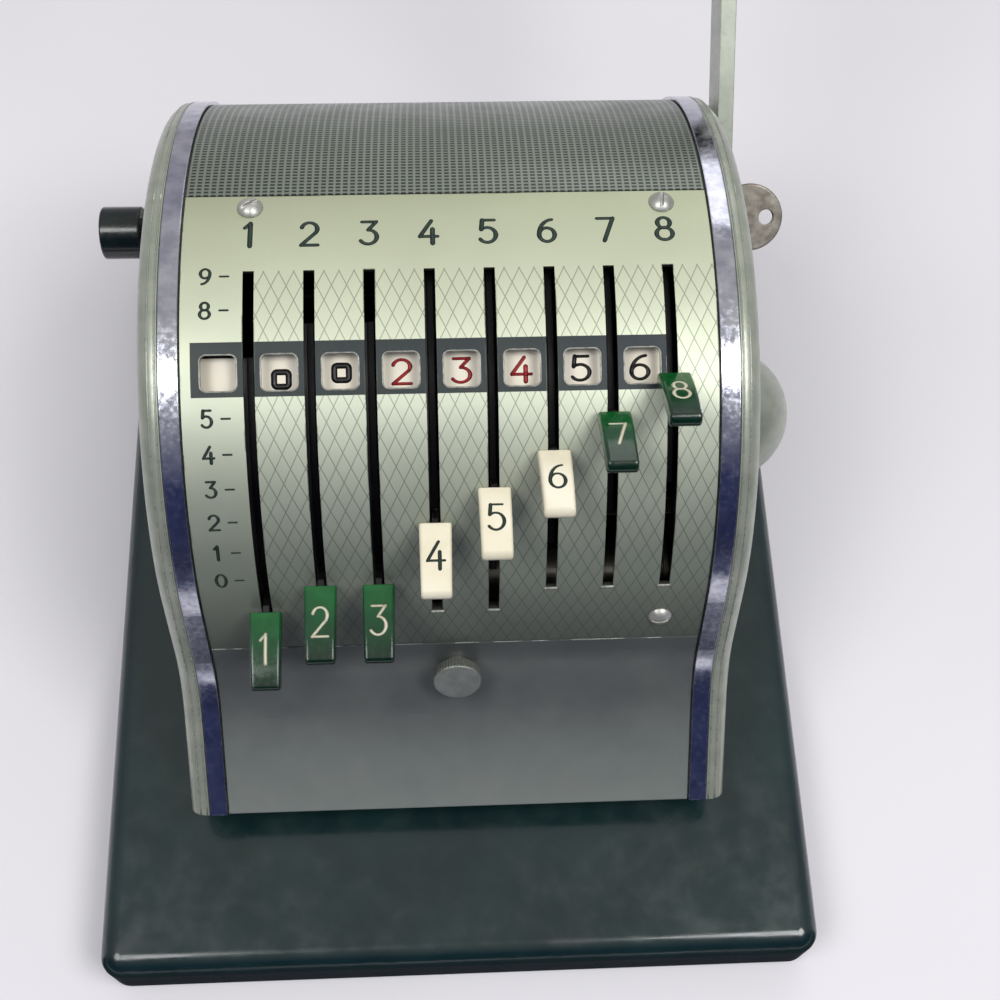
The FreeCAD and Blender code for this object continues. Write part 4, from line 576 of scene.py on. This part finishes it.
# The size of a figure is its width, its height and the width of its line.
HEADER_SIZE, SCALE_SIZE = (4.2, 6.6, 1.25), (2.5, 4.0, 0.85)
header = bmesh.new()
for number, across in enumerate(SLOT_PLACES, start=1):
    draw_figure(header, number, *HEADER_SIZE, on_crown(across, HEADER_ANGLE))
cast("slot_numbers", header, dark_print, "machine")
scale = bmesh.new()
for figure in (0, 1, 2, 3, 4, 5, 8, 9):
    angle = LEVER_ROOT + LEVER_STEP * figure
    draw_figure(scale, figure, *SCALE_SIZE, on_crown(SCALE_COLUMN, angle))
    tick = even([(-TICK_HALF, 0), (TICK_HALF, 0)])
    brush(scale, tick, TICK_WIDTH, INK_HEIGHT, on_crown(TICK_COLUMN, angle))
cast("figure_scale", scale, dark_print, "machine")
nickel = finish("nickel", (ink(198, 198, 190), ink(172, 172, 163)), (0.34, 0.48), metallic=0.7,
                patches=300.0, grain_height=0.004, worn=ink(206, 206, 198), worn_share=0.14)
give(nickel, "face_screws", "side_screws")
dull_nickel = finish("dull_nickel", (ink(156, 160, 152), ink(138, 142, 136)), (0.38, 0.52), metallic=0.75,
                     patches=220.0, grain_height=0.008, worn=ink(178, 178, 168), worn_share=0.16)
give(dull_nickel, "thumb_screw")
give(plain_steel, "cover_rails", "check_guide")


# ---------------------------------------------------------------- frame and levers
# Frame plates of pressed steel, held apart by turned rods, with the shafts and spools in their
# bores. Each lever is a steel plate, painted near-black as the shade inside its slot, that carries a
# moulded cream band, printed with the figures from nought to nine, behind its window.
give(plain_steel, "left_frame_plate", "right_frame_plate", "cross_rods", "lever_shaft", "lever_spacers",
     "detent_comb", "rear_ribbon_spool", "front_ribbon_spool", "handle_shaft", "platen_lifter",
     "return_spring")
# Near-black as painted shade inside the slots, with worn edges.
lever_steel_painted_shade = finish("lever_steel_painted_shade", (ink(30, 28, 28), ink(22, 21, 21)), (0.36, 0.55), metallic=0.7,
                     grain_height=0.01, worn=ink(96, 92, 88), worn_share=0.04)


def copies(stem):
    """Names of a piece that every lever has."""
    return [f"{stem}_{number}" for number in range(1, LEVERS + 1)]


give(lever_steel_painted_shade, *copies("lever"))


def band_cream(tree, point):
    """Cream, painted black as shade along the edge that lies under a slot."""
    across = calc(tree, "SUBTRACT", add(tree, "SeparateXYZ", {0: point}).outputs["X"], SLOT_PLACES[0] * MM)
    # Painted shade: black along the band's edge under each slot.
    black = stripes(tree, across, SLOT_PITCH * MM, 0.29, 0.005)
    return (mixed(tree, black, ink(238, 230, 212), ink(16, 16, 17)),
            mixed(tree, black, ink(228, 220, 200), ink(22, 21, 22)))


cream_plastic = finish("cream_plastic", band_cream, (0.35, 0.5), grain_height=0.004)
give(cream_plastic, *copies("number_band"))
LEVER_FIGURES = (-1, 0, 0, 2, 3, 4, 5, 6)
MIDDLE_LEVERS = (4, 5, 6)
black_ink = finish("black_ink", (ink(26, 26, 28), ink(38, 37, 38)), (0.3, 0.45), patches=300.0)
red_ink = finish("red_ink", (ink(184, 44, 48), ink(168, 36, 44)), (0.3, 0.45), patches=300.0)
BAND_FACE, NOUGHT_HALF, NOUGHT_CORNER, NOUGHT_LINE, LOW_NOUGHT = 75.4, 1.75, 0.7, 1.5, -1.3
BAND_SIZE, BAND_INK = (4.6, 5.8, 1.15), 0.06
for number, (across, shown) in enumerate(zip(SLOT_PLACES, LEVER_FIGURES), start=1):
    prints = bmesh.new()
    sag = LOW_NOUGHT if number == 2 else 0.0
    for figure in range(10):
        angle = WINDOW_ANGLE + LEVER_STEP * (shown - figure)
        place = on_crown(across - WINDOW_SHIFT, angle, BAND_FACE)
        if figure:
            draw_figure(prints, figure, *BAND_SIZE, place, height=BAND_INK, thin=0.35)
        else:
            nought = rounded_box(-NOUGHT_HALF, NOUGHT_HALF, sag - NOUGHT_HALF, sag + NOUGHT_HALF,
                                 NOUGHT_CORNER)
            brush(prints, nought, NOUGHT_LINE, BAND_INK, place, closed=True)
    cast(f"band_figures_{number}", prints, red_ink if number in MIDDLE_LEVERS else black_ink,
         f"lever_{number}")


# ---------------------------------------------------------------- keys
# Moulded plastic caps pressed on the levers, gloss green or ivory, each with its number filled
# in with paint. The green carries painted shade that darkens it towards the tip.
KEY_ROOT, KEY_TIP, KEY_LENGTH, KEY_SLOPE, KEY_CROWN = 82.8, 99.0, 18.6, 33.0, 0.8
MARK_SIZE = (4.0, 7.4, 0.95)


def key_green_painted_shade(tree, point):
    """Green darkened by painted shade with the distance from the lever shaft."""
    axes = add(tree, "SeparateXYZ", {0: point})
    above = calc(tree, "SUBTRACT", axes.outputs["Z"], SHAFT_HEIGHT * MM)
    reach = calc(tree, "SQRT", calc(tree, "ADD", calc(tree, "MULTIPLY", above, above),
                                    calc(tree, "MULTIPLY", axes.outputs["Y"], axes.outputs["Y"])))
    depth = spread(tree, reach, KEY_ROOT * MM, KEY_TIP * MM)
    # Painted shade: the green darkens towards the tip.
    return (ramp(tree, depth, [(0.0, ink(14, 84, 36)), (0.5, ink(6, 62, 30)), (1.0, ink(3, 30, 16))]),
            ramp(tree, depth, [(0.0, ink(20, 100, 44)), (0.5, ink(9, 72, 36)), (1.0, ink(5, 38, 20))]))


green_plastic = finish("green_plastic", key_green_painted_shade, (0.1, 0.22), coat=0.2, patches=240.0,
                       grain_height=0.004)
ivory_plastic = finish("ivory_plastic", (ink(236, 229, 205), ink(228, 220, 192)), (0.16, 0.3), coat=0.3,
                       patches=120.0, grain_height=0.004)


def on_key(across, angle):
    """Place a point on a key's face, about its middle, with the lever at a face angle."""
    along, out = facing(-KEY_SLOPE), facing(90 - KEY_SLOPE)
    turn = Matrix.Rotation(math.radians(-angle), 3, "X")

    def place(u, v, above):
        crown = KEY_CROWN * (1 - (2 * v / KEY_LENGTH) ** 2)
        spot = Vector((0, -KEY_ROOT, 0)) + along * (KEY_LENGTH / 2 - v) + out * (crown + above)
        return turn @ spot + Vector((across + u, 0, SHAFT_HEIGHT))
    return place


cream_print = finish("cream_print", (ink(228, 222, 196), ink(214, 208, 178)), (0.3, 0.45), patches=300.0)
for number, (across, shown) in enumerate(zip(SLOT_PLACES, LEVER_FIGURES), start=1):
    ivory = number in MIDDLE_LEVERS
    give(ivory_plastic if ivory else green_plastic, f"key_cap_{number}")
    mark = bmesh.new()
    draw_figure(mark, number, *MARK_SIZE, on_key(across, LEVER_ROOT + LEVER_STEP * shown))
    cast(f"key_number_{number}", mark, dark_print if ivory else cream_print, f"lever_{number}")


# ---------------------------------------------------------------- handle, lock and knob
# Enamelled steel arm on its domed hub, with a black plastic grip. The lock and its key are
# nickel-plated and tarnished, and the knob on the ribbon spool is the grip's plastic.
give(body_enamel, "handle_arm", "handle_hub")
knob_plastic = finish("knob_plastic", (ink(12, 22, 20), ink(19, 30, 27)), (0.14, 0.28), coat=0.15,
                      patches=260.0, grain_height=0.004)
give(knob_plastic, "handle_grip", "ribbon_knob")
old_nickel = finish("old_nickel", (ink(150, 145, 134), ink(112, 106, 96)), (0.34, 0.52), metallic=0.85,
                    patches=380.0, grain_height=0.01, worn=ink(190, 186, 174), worn_share=0.16)
give(old_nickel, "lock_body", "lock_plug", "key")
platen_rubber = finish("platen_rubber", (ink(58, 58, 58), ink(70, 69, 67)), (0.5, 0.7), grain_height=0.02)
give(platen_rubber, "platen")


# ---------------------------------------------------------------- ribbon
# Inked cotton ribbon, led from the front roll under the type, round three rods and up to the
# rear roll, and held taut by the two spools.
RIBBON_HALF, RIBBON_THICK = 58.0, 0.25
COLUMNS, TURN_STEPS, LEG_MARKS = 16, 8, (0.25, 0.5, 0.75, 1.0)
THREAD_PITCH = 0.35 * MM
# A stop is the Y, Z and radius of a roll or rod.
RIBBON_STOPS = ((-54.0, 66.0, 8.0), (-19.0, 35.0, 1.8), (19.0, 35.0, 1.8), (47.0, 52.0, 1.8),
                (29.3, 114.9, 8.0))


def ribbon_path():
    """Points of the ribbon's inner face and the way it faces, from roll to roll."""
    legs = list(zip(RIBBON_STOPS, RIBBON_STOPS[1:]))
    normals = []
    for (y, z, radius), (later, higher, full) in legs:
        gap = Vector((later - y, higher - z))
        normals.append(math.atan2(gap.y, gap.x) - math.pi / 2 - math.asin((full - radius) / gap.length))
    path = []
    for number, ((y, z, radius), (later, higher, full)) in enumerate(legs):
        start = normals[max(number - 1, 0)]
        for step in range(TURN_STEPS + 1):
            turn = start + (normals[number] - start) * step / TURN_STEPS
            if number or step == TURN_STEPS:
                path.append((y + radius * math.cos(turn), z + radius * math.sin(turn), turn))
        turn = normals[number]
        last = (later + full * math.cos(turn), higher + full * math.sin(turn))
        first = path[-1]
        path += [(first[0] + (last[0] - first[0]) * share, first[1] + (last[1] - first[1]) * share, turn)
                 for share in (LEG_MARKS if number == len(legs) - 1 else LEG_MARKS[:-1])]
    return path


strip = bmesh.new()
rows = []
route = ribbon_path()
columns = [RIBBON_HALF * (2 * column / COLUMNS - 1) for column in range(COLUMNS + 1)]
for y, z, turn in route:
    out = Vector((0, math.cos(turn), math.sin(turn)))
    inner = Vector((0, y, z))
    ring = [strip.verts.new(inner + Vector((x, 0, 0))) for x in columns]
    ring += [strip.verts.new(inner + out * RIBBON_THICK + Vector((x, 0, 0))) for x in reversed(columns)]
    rows.append(ring)
bridge(strip, rows)


def weave(tree, point):
    """Fine plain weave, raised along its threads."""
    axes = add(tree, "SeparateXYZ", {0: point})
    threads = calc(tree, "MAXIMUM", stripes(tree, axes.outputs["X"], THREAD_PITCH, 0.5),
                   stripes(tree, axes.outputs["Y"], THREAD_PITCH, 0.5))
    return (mixed(tree, threads, ink(26, 26, 36), ink(40, 40, 54)),
            mixed(tree, threads, ink(34, 32, 40), ink(50, 48, 60)), calc(tree, "MULTIPLY", threads, 0.03))


ribbon_cloth = finish("ribbon_cloth", weave, (0.7, 0.85), grain_height=0.03)
ribbon = cast("ribbon_strip", strip, ribbon_cloth, "machine")
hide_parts("ribbon")
give(ribbon_cloth, "ribbon")
